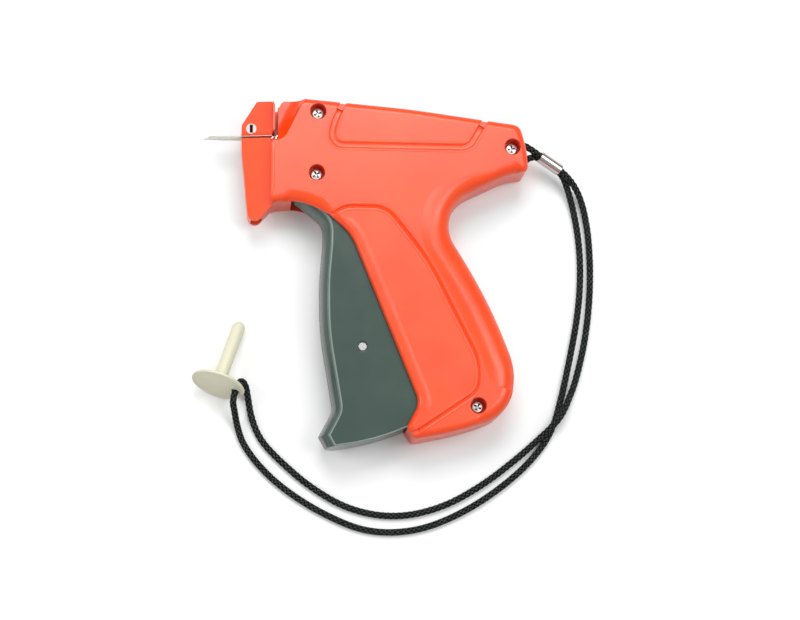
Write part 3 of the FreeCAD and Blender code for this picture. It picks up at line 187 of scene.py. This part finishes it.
def add_floor():
    """A matt white table top. What the camera sees of it is lifted to plain white."""
    bpy.ops.mesh.primitive_plane_add(size=TABLE_SIZE, location=TABLE_MIDDLE)
    floor = bpy.context.object
    floor.name = "floor"
    made, tree, shader, where = start_material("table_top", TABLE_ROUGHNESS,
                                               Base_Color=TABLE_TOP,
                                               Specular_IOR_Level=TABLE_GLOSS)
    away = node(tree, "ShaderNodeVectorMath", {0: where}, operation="LENGTH").outputs["Value"]
    missing = spaced(tree, away, LIFT_NEAR, LIFT_FAR, NEAR_LIFT, FAR_LIFT)
    seen = node(tree, "ShaderNodeLightPath").outputs["Is Camera Ray"]
    glow = node(tree, "ShaderNodeEmission",
                {"Color": WHITE, "Strength": maths(tree, "MULTIPLY", seen, missing)})
    both = node(tree, "ShaderNodeAddShader", {0: shader.outputs[0], 1: glow.outputs[0]})
    out = tree.nodes["Material Output"]
    tree.links.new(both.outputs[0], out.inputs["Surface"])
    floor.data.materials.append(made)


add_camera()
add_world()
add_floor()
for lamp_facts in LAMPS:
    add_lamp(*lamp_facts)
scene.view_settings.view_transform = "Standard"


# ---------------------------------------------------------------- materials
MIX_FIRST, MIX_SECOND, MIX_RESULT = 6, 7, 2     # a Mix node's sockets when it mixes colours

# Moulded plastic. Sizes are in millimetres.
CLOUD = 26.0            # lumps of its colour
SHEEN_PATCH = 9.0       # and of its roughness
SWELL = 24.0            # and slow waves in its surface
SMOOTHER, ROUGHER = 0.015, 0.025        # how far its roughness goes below and over its own
NEAR_BY = 11.0          # as far as light goes from wall to wall inside a recess
FEED_SLOT = (-12.75, 1.4)   # the feed slot's middle, and how far the light stays in it

# Metal.
LINE_WIDTH = 0.25       # mm, the fine lines that polishing leaves
LINE_DEPTH = 0.004      # mm
LINE_SMOOTHER, LINE_ROUGHER = 0.06, 0.10
STAIN = 1.6             # mm, faint stains
STAINED = 0.72          # of the metal's own colour
STAIN_MOST = 0.35       # share of the stain where it is deepest
FULL_PAINTED_SHADE, NO_PAINTED_SHADE = 0.35, 0.85   # share of open sky in a recess at which its painted shade is full, and at which there is none


def noise(tree, where, size, detail=3.0):
    """Noise whose lumps are about that many millimetres across."""
    return node(tree, "ShaderNodeTexNoise", {"Vector": where, "Scale": 1.0 / (size * MM),
                                             "Detail": detail}).outputs["Fac"]


def spread_over(tree, value, low, high, start=0.3, end=0.7):
    """The value, from start to end, turned into low to high with a soft start and stop."""
    return spaced(tree, value, start, end, low, high, interpolation_type="SMOOTHSTEP")


def blended(tree, value, first, second):
    """A colour that runs from first to second with the value."""
    made = node(tree, "ShaderNodeMix", data_type="RGBA")
    tree.links.new(value, made.inputs["Factor"])
    for number, side in ((MIX_FIRST, first), (MIX_SECOND, second)):
        if isinstance(side, bpy.types.NodeSocket):
            tree.links.new(side, made.inputs[number])
        else:
            made.inputs[number].default_value = side
    return made.outputs[MIX_RESULT]


def bumped(tree, height, depth, strength=1.0, under=None):
    """A normal from a height of 0 to 1, where 1 stands for that many millimetres."""
    made = node(tree, "ShaderNodeBump", {"Height": height, "Distance": depth * MM,
                                         "Strength": strength})
    if under is not None:
        tree.links.new(under, made.inputs["Normal"])
    return made.outputs["Normal"]


def thrown_far(tree, where):
    """1 for light that goes further than the piece's own recesses, to the floor, and else 0."""
    rays = node(tree, "ShaderNodeLightPath").outputs
    far = maths(tree, "GREATER_THAN", rays["Ray Length"], NEAR_BY * MM)
    outside = maths(tree, "MULTIPLY", rays["Is Diffuse Ray"], far)
    along = node(tree, "ShaderNodeSeparateXYZ", {"Vector": where}).outputs["X"]
    in_slot = maths(tree, "COMPARE", along, FEED_SLOT[0] * MM, FEED_SLOT[1] * MM)
    return maths(tree, "SUBTRACT", outside, in_slot, use_clamp=True)


def moulded(name, main, shade, roughness, grain=0.5, grain_depth=0.004, edge=0.25, waves=0.05,
            bounce=None, **fixed):
    """Moulded plastic: slow cloudy colour, a fine grain and softened edges.

    Main and shade are its two colours. Grain is the size of its grain, and grain_depth and
    waves are how deep the grain and the slow waves are, all in millimetres, as edge is, which
    rounds its edges. Bounce is the colour that it throws on the floor, whose shadow is grey in
    the photograph.
    """
    made, tree, shader, where = start_material(name, roughness, **fixed)
    cloud = spread_over(tree, noise(tree, where, CLOUD), 0.0, 1.0)
    skin = blended(tree, cloud, main, shade)
    if bounce is not None:
        skin = blended(tree, thrown_far(tree, where), skin, bounce)
    tree.links.new(skin, shader.inputs["Base Color"])
    sheen = spread_over(tree, noise(tree, where, SHEEN_PATCH, detail=2.0),
                        roughness - SMOOTHER, roughness + ROUGHER)
    tree.links.new(sheen, shader.inputs["Roughness"])
    rounded = node(tree, "ShaderNodeBevel", {"Radius": edge * MM}, samples=8).outputs["Normal"]
    swollen = bumped(tree, noise(tree, where, SWELL, detail=2.0), waves, under=rounded)
    fine = bumped(tree, noise(tree, where, grain, detail=2.0), grain_depth, under=swollen)
    tree.links.new(fine, shader.inputs["Normal"])
    return made


def metal(name, base, roughness, brush=(1.0, 1.0, 1.0), edge=0.08, recess=None, shade=None):
    """Metal with fine lines that run along the axis where brush is small.

    Recesses narrower than recess, in millimetres, get painted shade: their colour runs to shade
    where they see little open sky.
    """
    made, tree, shader, where = start_material(name, roughness, Base_Color=base, Metallic=1.0)
    stretched = node(tree, "ShaderNodeMapping", {"Vector": where, "Scale": brush}).outputs[0]
    lines = noise(tree, stretched, LINE_WIDTH, detail=4.0)
    tree.links.new(spread_over(tree, lines, roughness - LINE_SMOOTHER, roughness + LINE_ROUGHER),
                   shader.inputs["Roughness"])
    stain = spread_over(tree, noise(tree, where, STAIN), 0.0, STAIN_MOST)
    darker = tuple(channel * STAINED for channel in base[:3]) + (1.0,)
    skin = blended(tree, stain, base, darker)
    # Painted shade: the colour darkens to shade in recesses, by how little open sky they see.
    if recess is not None:
        sky_open_over_painted_shade = node(tree, "ShaderNodeAmbientOcclusion", {"Distance": recess * MM}, samples=8,
                       only_local=True).outputs["AO"]
        skin = blended(tree, spread_over(tree, sky_open_over_painted_shade, 0.0, 1.0, FULL_PAINTED_SHADE, NO_PAINTED_SHADE), shade, skin)
    tree.links.new(skin, shader.inputs["Base Color"])
    rounded = node(tree, "ShaderNodeBevel", {"Radius": edge * MM}, samples=4).outputs["Normal"]
    tree.links.new(bumped(tree, lines, LINE_DEPTH, under=rounded), shader.inputs["Normal"])
    return made


HOUSING = moulded("orange_abs", colour(239, 74, 17), colour(235, 67, 13), 0.30, grain=0.8,
                  grain_depth=0.008, edge=0.40, waves=0.16, bounce=colour(150, 148, 147),
                  Specular_IOR_Level=0.56)
TRIGGER = moulded("grey_green_nylon", colour(61, 78, 71), colour(57, 74, 68), 0.18)
# Painted highlight: the trigger's rims are a lighter grey than its body, for the light that their
# edges catch.
PAINTED_HIGHLIGHT_RIM = moulded("grey_nylon_painted_highlight", colour(122, 137, 130), colour(112, 127, 121), 0.24)
INNER = moulded("dark_acetal", colour(70, 72, 74), colour(60, 62, 66), 0.38)
COVER = moulded("cream_polythene", colour(216, 214, 189), colour(208, 205, 179), 0.42,
                edge=0.35)
NEEDLE = metal("needle_steel", (0.88, 0.87, 0.83, 1.0), 0.34, brush=(0.05, 1.0, 1.0))
PIN = metal("pin_steel", (0.60, 0.60, 0.60, 1.0), 0.22)
# The screws' cross recesses and the lock's slot get painted shade in these shade colours.
SCREW = metal("screw_nickel", (0.74, 0.73, 0.71, 1.0), 0.28, recess=1.2,
              shade=colour(34, 44, 40))
LOCK = metal("lock_steel", (0.42, 0.42, 0.41, 1.0), 0.50, recess=3.0,
             shade=colour(72, 10, 12))
CRIMP = metal("crimp_nickel", (0.60, 0.55, 0.53, 1.0), 0.10, brush=(0.4, 0.4, 1.0))


def dress(material, *names):
    """Gives these CAD nodes the material."""
    for name in names:
        for slot in NODES[name].material_slots:
            slot.material = material


dress(HOUSING, "left_housing", "right_housing", "nose_cap")
dress(TRIGGER, "trigger")
dress(INNER, "drive_lever", "slide", "feed_wheel", "needle_base")
dress(COVER, "needle_cover")
dress(NEEDLE, "needle", "cutter_blade", "ejector_rod")
dress(PIN, "trigger_pivot_pin", "lever_pivot_pin", "drive_pin", "slide_pin", "feed_shaft",
      "check_spring", "return_spring")
dress(LOCK, "needle_lock")
dress(SCREW, "housing_screws")
dress(CRIMP, "cord_crimp")


# ---------------------------------------------------------------- mouldings
FACE = round(CAD_BOX[1][2] / MM, 3)     # mm, height of the near face
MIDDLE = FACE / 2       # and of the parting plane
SPACING = 1.5           # mm from point to point of a run
ARC_STEP = 4.0          # degrees between points of a rounded corner
ARC_FEWEST = 4          # parts of one, however short it is
CORNER_ROOM = 2.6       # mm without points on both sides of a sharp corner
FOLD = math.radians(50)  # a section's corner that turns more than this stays sharp
HOUSING_TRIM = ("frame", "housing", HOUSING)    # a bar's body, slot and material
BRIGHT_TRIM = ("frame", "needle_steel", NEEDLE)
TRIGGER_HIGHLIGHT_TRIM = ("trigger", "trigger_plastic", PAINTED_HIGHLIGHT_RIM)


def steps_of(things):
    """Each thing in the list with the one that follows it."""
    return zip(things, things[1:])


def rounded_run(corners):
    """Points (x, y), and whether each is a sharp corner, along corners given as (x, y, radius)."""
    points = [(Vector(corners[0][:2]), False)]
    for before, here, after in zip(corners, corners[1:], corners[2:]):
        place, radius = Vector(here[:2]), here[2]
        back = (Vector(before[:2]) - place).normalized()
        ahead = (Vector(after[:2]) - place).normalized()
        if radius == 0:
            points.append((place, True))
            continue
        half = back.angle(ahead) / 2
        centre = place + (back + ahead).normalized() * (radius / math.sin(half))
        start = place + back * (radius / math.tan(half))
        stop = place + ahead * (radius / math.tan(half))
        sweep = (start - centre).angle_signed(stop - centre)
        count = max(ARC_FEWEST, round(abs(math.degrees(sweep)) / ARC_STEP))
        for number in range(count + 1):
            turn = Matrix.Rotation(-sweep * number / count, 2)
            points.append((centre + turn @ (start - centre), False))
    points.append((Vector(corners[-1][:2]), False))
    filled = [points[0]]
    for (first, _), (second, sharp) in steps_of(points):
        count = max(1, round((second - first).length / SPACING))
        for number in range(1, count + 1):
            filled.append((first.lerp(second, number / count), sharp and number == count))
    sharp_ones = [place for place, sharp in filled if sharp]
    return [(place, sharp) for place, sharp in filled
            if sharp or all((place - corner).length > CORNER_ROOM for corner in sharp_ones)]


def across_run(points, lean):
    """For each point, the step to the left that keeps the bar as wide in a corner as before it."""
    steps = []
    for number in range(len(points)):
        sides = []
        for first, second in ((number - 1, number), (number, number + 1)):
            if first >= 0 and second < len(points):
                along = (points[second][0] - points[first][0]).normalized()
                sides.append(Vector((-along.y, along.x)))
        left, other = sides[0], sides[-1]
        steps.append((left + other) / (1 + left.dot(other)))
    steps[-1] = steps[-1] + Vector((left.y, -left.x)) * lean
    return steps


def swept(name, corners, profile, base, body, slot, material, fade=0.0, last_fade=None, sunk=0.0,
          ends=None, lean=0.0, tilt=0.0):
    """A solid bar along the run: profile gives its section as (aside, up) in millimetres.

    Aside is to the left of the run, and up is over base. The bar ends without a step: over the
    fade at both ends, or last_fade at the last one, the section's points sink to the heights in
    ends, or those over sunk sink to sunk. Lean slants the bar's last end, by that much along
    the run for each millimetre aside. Tilt lifts the bar by that much for each millimetre
    toward the rear.
    """
    points = rounded_run(corners)
    reach = [0.0]
    for (first, _), (second, _) in steps_of(points):
        reach.append(reach[-1] + (second - first).length)
    last_fade = last_fade or fade
    ends = ends or [min(up, sunk) for _, up in profile]
    mesh = bpy.data.meshes.new(name)
    build = bmesh.new()
    rings = []
    for (place, sharp), across, passed in zip(points, across_run(points, lean), reach):
        share = min(1.0, passed / fade, (reach[-1] - passed) / last_fade) if fade else 1.0
        share = share * share * (3 - 2 * share)
        ring = []
        for (aside, up), end in zip(profile, ends):
            spot = place + across * aside
            height = base + tilt * spot.x + end + (up - end) * share
            ring.append(build.verts.new((spot.x * MM, spot.y * MM, height * MM)))
        rings.append((ring, sharp))
    count = len(profile)
    for (ring, _), (following, _) in steps_of(rings):
        for step in range(count):
            after = (step + 1) % count
            face = build.faces.new((ring[step], ring[after], following[after], following[step]))
            face.smooth = True
    build.faces.new(rings[0][0])
    build.faces.new(reversed(rings[-1][0]))
    for step in range(count):
        before, here, after = (Vector(profile[(step + turn) % count]) for turn in (-1, 0, 1))
        if (here - before).angle(after - here) > FOLD:
            for (ring, _), (following, _) in steps_of(rings):
                build.edges.get((ring[step], following[step])).smooth = False
        for ring in (ring for ring, sharp in rings if sharp):
            build.edges.get((ring[step], ring[(step + 1) % count])).smooth = False
    bmesh.ops.recalc_face_normals(build, faces=build.faces)
    build.to_mesh(mesh)
    build.free()
    mesh.materials.append(material)
    piece = bpy.data.objects.new(name, mesh)
    scene.collection.objects.link(piece)
    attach(piece, body)


def both_sides(half):
    """A section that is the same on both sides of the run, from its left-hand half."""
    return half + [(-aside, up) for aside, up in reversed(half) if aside > 0]


def upside_down(section):
    """The section turned over, for the far side of the parting plane."""
    return [(aside, -up) for aside, up in section]


def raised(section, by):
    """The section, moved up."""
    return [(aside, up + by) for aside, up in section]


# The two grooves in the near face have soft shoulders and a round or flat bottom.
GRIP_GROOVE = ((11.7, -10.5, 0), (15.8, -7.1, 11), (34.3, -7.1, 12), (52.0, -29.4, 95),
               (73.6, -72.8, 23), (73.6, -85.5, 10), (47.8, -102.8, 0))
GRIP_SECTION = both_sides([(1.7, -1.1), (1.9, 0.006), (1.5, 0.03), (1.1, 0.03), (0.8, -0.01),
                           (0.58, -0.13), (0.42, -0.36), (0.22, -0.74), (0.0, -0.85)])
swept("grip_groove_lining", GRIP_GROOVE, GRIP_SECTION, FACE, *HOUSING_TRIM, fade=1.4, sunk=-0.35)
PANEL_GROOVE = ((14.4, 34.8, 0), (11.6, 28.1, 14.6), (10.2, 19.4, 4.8), (69.6, 18.9, 6.1),
                (75.1, 28.3, 0))
PANEL_SECTION = both_sides([(2.2, -0.7), (2.3, 0.006), (1.95, 0.03), (1.6, 0.03), (1.38, -0.04),
                            (1.18, -0.24), (1.0, -0.42), (0.8, -0.5), (0.4, -0.52)])
swept("panel_groove_lining", PANEL_GROOVE, PANEL_SECTION, FACE, *HOUSING_TRIM, fade=2.5,
      sunk=-0.88)

# A soft ridge runs beside the rounded lip along the grip's front edge.
LIP_RUN = ((15.2, -10.4, 0), (22.3, -16.7, 24), (52.2, -90.8, 10), (48.6, -98.0, 0))
LIP_SECTION = both_sides([(2.0, -0.5), (2.1, -0.01), (1.4, 0.035), (0.7, 0.12), (0.0, 0.15)])
swept("grip_lip_ridge", LIP_RUN, LIP_SECTION, FACE, *HOUSING_TRIM, fade=7.0, sunk=-0.1)

# A broad soft crown runs down the grip's back and carries on into its rounding.
BACK_RUN = ((67.0, 7.0, 0), (43.28, -4.88, 23.5), (71.97, -51.02, 212), (81.73, -77.68, 21),
            (80.4, -85.0, 0))
BACK_SECTION = [(-5.2, -1.2), (-5.1, -0.01), (-4.4, 0.05), (-3.6, 0.16), (-2.8, 0.31),
                (-2.0, 0.45), (-1.3, 0.54), (-0.7, 0.56), (0.0, 0.51), (0.7, 0.4), (1.4, 0.25),
                (2.1, 0.08), (2.7, -0.1), (3.2, -0.28), (3.6, -0.47), (3.9, -0.64),
                (4.2, -0.87), (4.4, -1.12), (4.2, -2.2)]
BACK_ENDS = [-1.2] + [-0.06] * 8 + [-0.07, -0.12, -0.24, -0.4, -0.57, -0.74, -0.87, -1.05, -1.3,
                                    -2.2]
swept("grip_back_crown", BACK_RUN, BACK_SECTION, FACE, *HOUSING_TRIM, fade=44.0, last_fade=15.0,
      ends=BACK_ENDS)

# The nose plane slopes. It meets the barrel's face in a soft edge, and the needle shows under
# the cap as a bright line beside the slit.
PLANE = 24.73           # mm, height of the nose plane where x is 0
SLOPE = 0.19            # and how much higher it is for each millimetre toward the rear
BLADE_FOOT = 24.9       # mm, height at which the cutter's bright edges show in the feed slot
STEP_EDGE = [(0.9, -0.5), (0.9, 0.012), (0.45, 0.04), (0.0, 0.04), (-0.35, -0.02), (-0.55, -0.12),
             (-0.62, -0.28), (-0.5, -0.5), (-0.2, -1.0), (0.3, -1.5)]
swept("nose_step_edge", ((-14.4, 20.8, 0), (-14.4, -3.6, 0)), STEP_EDGE, FACE, *HOUSING_TRIM,
      fade=2.0, sunk=-0.3)
CAP_LIP = [(-0.3, -2.0), (-0.3, 0.0), (0.45, 0.0), (0.75, -0.1), (0.93, -0.35), (0.95, -2.0)]
swept("nose_cap_lip", ((-14.5, 25.4, 0), (-27.3, 25.4, 0)), CAP_LIP, PLANE, *HOUSING_TRIM,
      tilt=SLOPE)
NEEDLE_LIP = both_sides([(0.2, -1.1), (0.24, -0.5), (0.14, -0.3), (0.0, -0.26)])
swept("needle_lip", ((-14.6, 24.3, 0), (-27.2, 24.3, 0)), NEEDLE_LIP, PLANE, *BRIGHT_TRIM,
      tilt=SLOPE)
BLADE_EDGE = both_sides([(0.22, -2.2), (0.22, 0.1), (0.1, 0.2)])
BLADE_RUNS = (((-14.17, 23.24, 0), (-14.88, 22.0, 0)), ((-12.33, 23.78, 0), (-13.05, 22.03, 0)))
for number, run in enumerate(BLADE_RUNS, 1):
    swept(f"cutter_edge_{number}", run, BLADE_EDGE, BLADE_FOOT, *BRIGHT_TRIM)

# The trigger's finger face is rounded, with a thin raised rim along both side plates. These rims,
# and the one along the foot, are a lighter grey as painted highlight.
FINGER_RUN = ((-2.6, -5.4, 0), (7.35, -13.9, 7.0), (7.6, -21.0, 60.0), (6.1, -38.0, 120.0),
              (6.3, -60.0, 120.0), (11.9, -93.5, 6.0), (6.0, -104.8, 0), (8.7, -109.55, 0))
FOOT_LEAN = 0.44        # the trigger's bottom is an arc that crosses the toe at a slant
PLATE_FACE = round(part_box("trigger")[1][2] / MM, 3) - MIDDLE    # a side plate's outside
BEAD_FOOT = 10.0        # and where the raised rim starts, both in mm from the parting plane
ROUND = [(4.1, 10.44), (3.5, 10.3), (3.1, 10.12), (2.95, 9.95), (2.82, 9.75), (2.66, 9.55),
         (2.3, 9.2), (1.7, 8.3), (1.15, 6.9), (0.62, 5.0), (0.25, 3.0), (0.05, 1.0)]
swept("finger_face", FINGER_RUN, ROUND + upside_down(reversed(ROUND)), MIDDLE, "trigger",
      "trigger_plastic", TRIGGER, lean=FOOT_LEAN)
BEAD = raised([(4.4, 0.35), (4.3, 0.52), (4.1, 0.62), (3.85, 0.62), (3.35, 0.4), (3.2, 0.28),
               (3.15, 0.1), (3.3, -0.2)], BEAD_FOOT)
swept("finger_rim_near", FINGER_RUN, BEAD, MIDDLE, *TRIGGER_HIGHLIGHT_TRIM, lean=FOOT_LEAN)
swept("finger_rim_far", FINGER_RUN, upside_down(BEAD), MIDDLE, *TRIGGER_HIGHLIGHT_TRIM, lean=FOOT_LEAN)
FOOT_RUN = ((12.6, -109.2, 0), (29.15, -107.3, 100), (44.6, -100.45, 0))
FOOT_RIM = raised([(0.6, -0.4), (0.5, 0.03), (0.2, 0.09), (0.0, 0.03), (-0.09, -0.12),
                   (-0.09, -1.3), (0.4, -1.5)], PLATE_FACE)
swept("trigger_foot_rim", FOOT_RUN, FOOT_RIM, MIDDLE, *TRIGGER_HIGHLIGHT_TRIM)


# ---------------------------------------------------------------- lanyard cord
CORD_DIAMETER = 3.0 * MM
CORD_ROUTE = (
    (84.1, 19.8, 14), (84.1, 22.2, 14), (85.9, 24, 14), (90, 24, 14), (95.3, 22.9, 14.2),
    (100.8, 19.0, 14.3), (111.8, 12.1, 11.8), (118.2, 6.2, 6.4), (122.2, -3, 2.4),
    (124.4, -17, 1.5), (124.8, -36, 1.5), (122.9, -57, 1.5), (118.4, -77, 1.5),
    (114.4, -87.2, 2.4), (111.6, -93, 5), (108.4, -97.2, 5), (102.6, -102.8, 2.2),
    (93, -111.4, 1.5), (78, -123.2, 1.5), (60, -133.4, 1.5), (40, -137.9, 1.5),
    (20, -134.6, 1.5), (3, -124.8, 1.5), (-10.5, -113.1, 1.5), (-18.4, -104.6, 1.5),
    (-22.2, -95.4, 1.5), (-23.6, -87.4, 2.3), (-24.9, -80.6, 5.6), (-27.7, -79.9, 9.3),
    (-30.5, -88.6, 11.9), (-29.4, -93.4, 7), (-28.3, -98.6, 1.9), (-25.9, -106.2, 1.5),
    (-19, -115.8, 1.5), (-8, -126, 1.5), (9, -136.6, 1.5), (28, -144.3, 1.5),
    (49, -143.6, 1.5), (68, -136, 1.5), (85, -125, 1.5), (98.5, -113, 1.5),
    (107.4, -100.6, 1.5), (111.6, -86, 1.5), (116, -66, 1.5), (119.5, -47, 1.5),
    (120.6, -29, 1.5), (119.5, -13.5, 1.5), (117.2, -2, 2.1), (114.6, 6, 5.2),
    (111.4, 12.4, 8.9), (100.4, 19.3, 11.4), (95, 16.4, 13.3), (90, 15, 14),
    (85.9, 15, 14), (84.1, 16.8, 14), (84.1, 19.2, 14),
)
CURVE_STEPS = 16        # points read from each part of the route's curve
CARRIERS = 5            # strands of the braid that run each way round
CROSSING = 1.15 * MM    # from one crossing of strands to the next along the cord
RELIEF = 0.32 * MM      # how far a strand stands over the gaps
FLATNESS = 0.8          # 1 for a strand with a sine's crown, less for a flatter one
UNDERPASS = 0.45        # height of a strand where it dips under the next, where its crown is 1
AROUND = 32             # points round the cord
ALONG = 0.27 * MM       # from ring to ring
FIBRES = 7.0            # rows of fibres in a strand
ROW_DEPTH = 0.03        # mm
FRAY, FRAY_DEPTH = 0.5, 0.05            # mm, lumps of loose fibres
CROWN = (0.6, 1.0)      # height of a strand where the gap's painted shade ends, and where its own colour is full
# The gaps between strands are painted near black, as shade.
DARK_YARN, PALE_YARN, GAP_PAINTED_SHADE = colour(34, 37, 36), colour(84, 90, 88), colour(1, 2, 2)


def route_line(route):
    """Points along the smooth curve that has the route's points as its control points."""
    data = bpy.data.curves.new("route", "CURVE")
    data.dimensions = "3D"
    data.resolution_u = CURVE_STEPS
    spline = data.splines.new("NURBS")
    spline.points.add(len(route) - 1)
    for point, place in zip(spline.points, route):
        point.co = (*(value * MM for value in place), 1.0)
    spline.order_u = 3
    spline.use_endpoint_u = True
    holder = bpy.data.objects.new("route", data)
    scene.collection.objects.link(holder)
    bpy.context.view_layer.update()
    mesh = bpy.data.meshes.new_from_object(holder)
    line = [vertex.co.copy() for vertex in mesh.vertices]
    bpy.data.objects.remove(holder)
    bpy.data.meshes.remove(mesh)
    bpy.data.curves.remove(data)
    return line


def evenly(line, step):
    """The line again, with points that step apart."""
    lengths = [0.0]
    for first, second in steps_of(line):
        lengths.append(lengths[-1] + (second - first).length)
    count = round(lengths[-1] / step)
    made = []
    index = 0
    for number in range(count + 1):
        want = lengths[-1] * number / count
        while index < len(line) - 2 and lengths[index + 1] < want:
            index += 1
        span = lengths[index + 1] - lengths[index]
        share = (want - lengths[index]) / span if span else 0.0
        made.append(line[index].lerp(line[index + 1], share))
    return made


def across_line(line):
    """For each point, two directions across the line, which don't twist round it."""
    pairs = []
    side = Vector((0.0, 0.0, 1.0))
    for number in range(len(line)):
        ahead = (line[min(number + 1, len(line) - 1)] - line[max(number - 1, 0)]).normalized()
        side = (side - ahead * side.dot(ahead)).normalized()
        pairs.append((side, ahead.cross(side)))
    return pairs


def braid_height(one_way, other_way):
    """0 in the gaps between strands to 1 on the crown of the strand that lies on top."""
    on_top = (math.floor(one_way) + math.floor(other_way)) % 2 == 0
    across, along = (one_way, other_way) if on_top else (other_way, one_way)
    crown = abs(math.sin(math.pi * across)) ** FLATNESS
    arch = abs(math.sin(math.pi * along)) ** FLATNESS
    return crown * (UNDERPASS + (1 - UNDERPASS) * arch)


def on_braid(number, step):
    """Where that point of that ring lies on the braid: strands passed, counted each way round."""
    turn = (step + 0.5) / AROUND * CARRIERS
    passed = number * ALONG / CROSSING / 2
    return turn + passed, turn - passed


def braided_tube(name, line):
    """A closed tube along the line with a braid's crossing strands raised on it."""
    mesh = bpy.data.meshes.new(name)
    build = bmesh.new()
    weave = build.loops.layers.uv.new("braid")
    rings = []
    for number, (point, (side, level)) in enumerate(zip(line, across_line(line))):
        ring = []
        for step in range(AROUND):
            radius = CORD_DIAMETER / 2 - RELIEF * (1 - braid_height(*on_braid(number, step)))
            angle = 2 * math.pi * (step + 0.5) / AROUND
            out = side * math.cos(angle) + level * math.sin(angle)
            ring.append(build.verts.new(point + out * radius))
        rings.append(ring)
    for number, (ring, following) in enumerate(steps_of(rings)):
        for step in range(AROUND):
            after = (step + 1) % AROUND
            face = build.faces.new((ring[step], following[step], following[after], ring[after]))
            face.smooth = True
            corners = ((number, step), (number + 1, step), (number + 1, step + 1),
                       (number, step + 1))
            for loop, corner in zip(face.loops, corners):
                loop[weave].uv = on_braid(*corner)
    build.faces.new(rings[0])
    build.faces.new(reversed(rings[-1]))
    build.normal_update()
    build.to_mesh(mesh)
    build.free()
    cord = bpy.data.objects.new(name, mesh)
    scene.collection.objects.link(cord)
    return cord


def braid_material():
    """Black polyester yarn: fibres follow the strand on top, and the gaps between strands are
    painted dark as shade.
    """
    made, tree, shader, where = start_material("black_braid", 0.62, Sheen_Weight=0.04,
                                               Sheen_Roughness=0.4, Specular_IOR_Level=0.05)
    weave = node(tree, "ShaderNodeUVMap", uv_map="braid").outputs["UV"]
    ways = node(tree, "ShaderNodeSeparateXYZ", {"Vector": weave}).outputs
    one_way, other_way = ways["X"], ways["Y"]
    cell = maths(tree, "ADD", maths(tree, "FLOOR", one_way), maths(tree, "FLOOR", other_way))
    odd = maths(tree, "MODULO", maths(tree, "ABSOLUTE", cell), 2.0)
    across = node(tree, "ShaderNodeMix", {"Factor": odd, "A": one_way, "B": other_way}).outputs[0]
    fibres = maths(tree, "SINE", maths(tree, "MULTIPLY", across, 2 * math.pi * FIBRES))
    rows = spread_over(tree, fibres, 0.0, 1.0, start=-1.0, end=1.0)
    fray = noise(tree, where, FRAY, detail=4.0)
    arch = maths(tree, "SINE", maths(tree, "MULTIPLY", across, math.pi))
    # Painted shade: dark in the gaps, the yarn's own colour on the strands' crowns.
    crown = spread_over(tree, maths(tree, "ABSOLUTE", arch), 0.0, 1.0, *CROWN)
    strand = blended(tree, spread_over(tree, fray, 0.0, 1.0), DARK_YARN, PALE_YARN)
    tree.links.new(blended(tree, crown, GAP_PAINTED_SHADE, strand), shader.inputs["Base Color"])
    frayed = bumped(tree, fray, FRAY_DEPTH)
    tree.links.new(bumped(tree, rows, ROW_DEPTH, under=frayed), shader.inputs["Normal"])
    return made


cord_line = evenly(route_line(CORD_ROUTE), ALONG)
lanyard = braided_tube("lanyard_braid", cord_line)
lanyard.data.materials.append(braid_material())
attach(lanyard, "frame")
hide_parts("lanyard_cord")
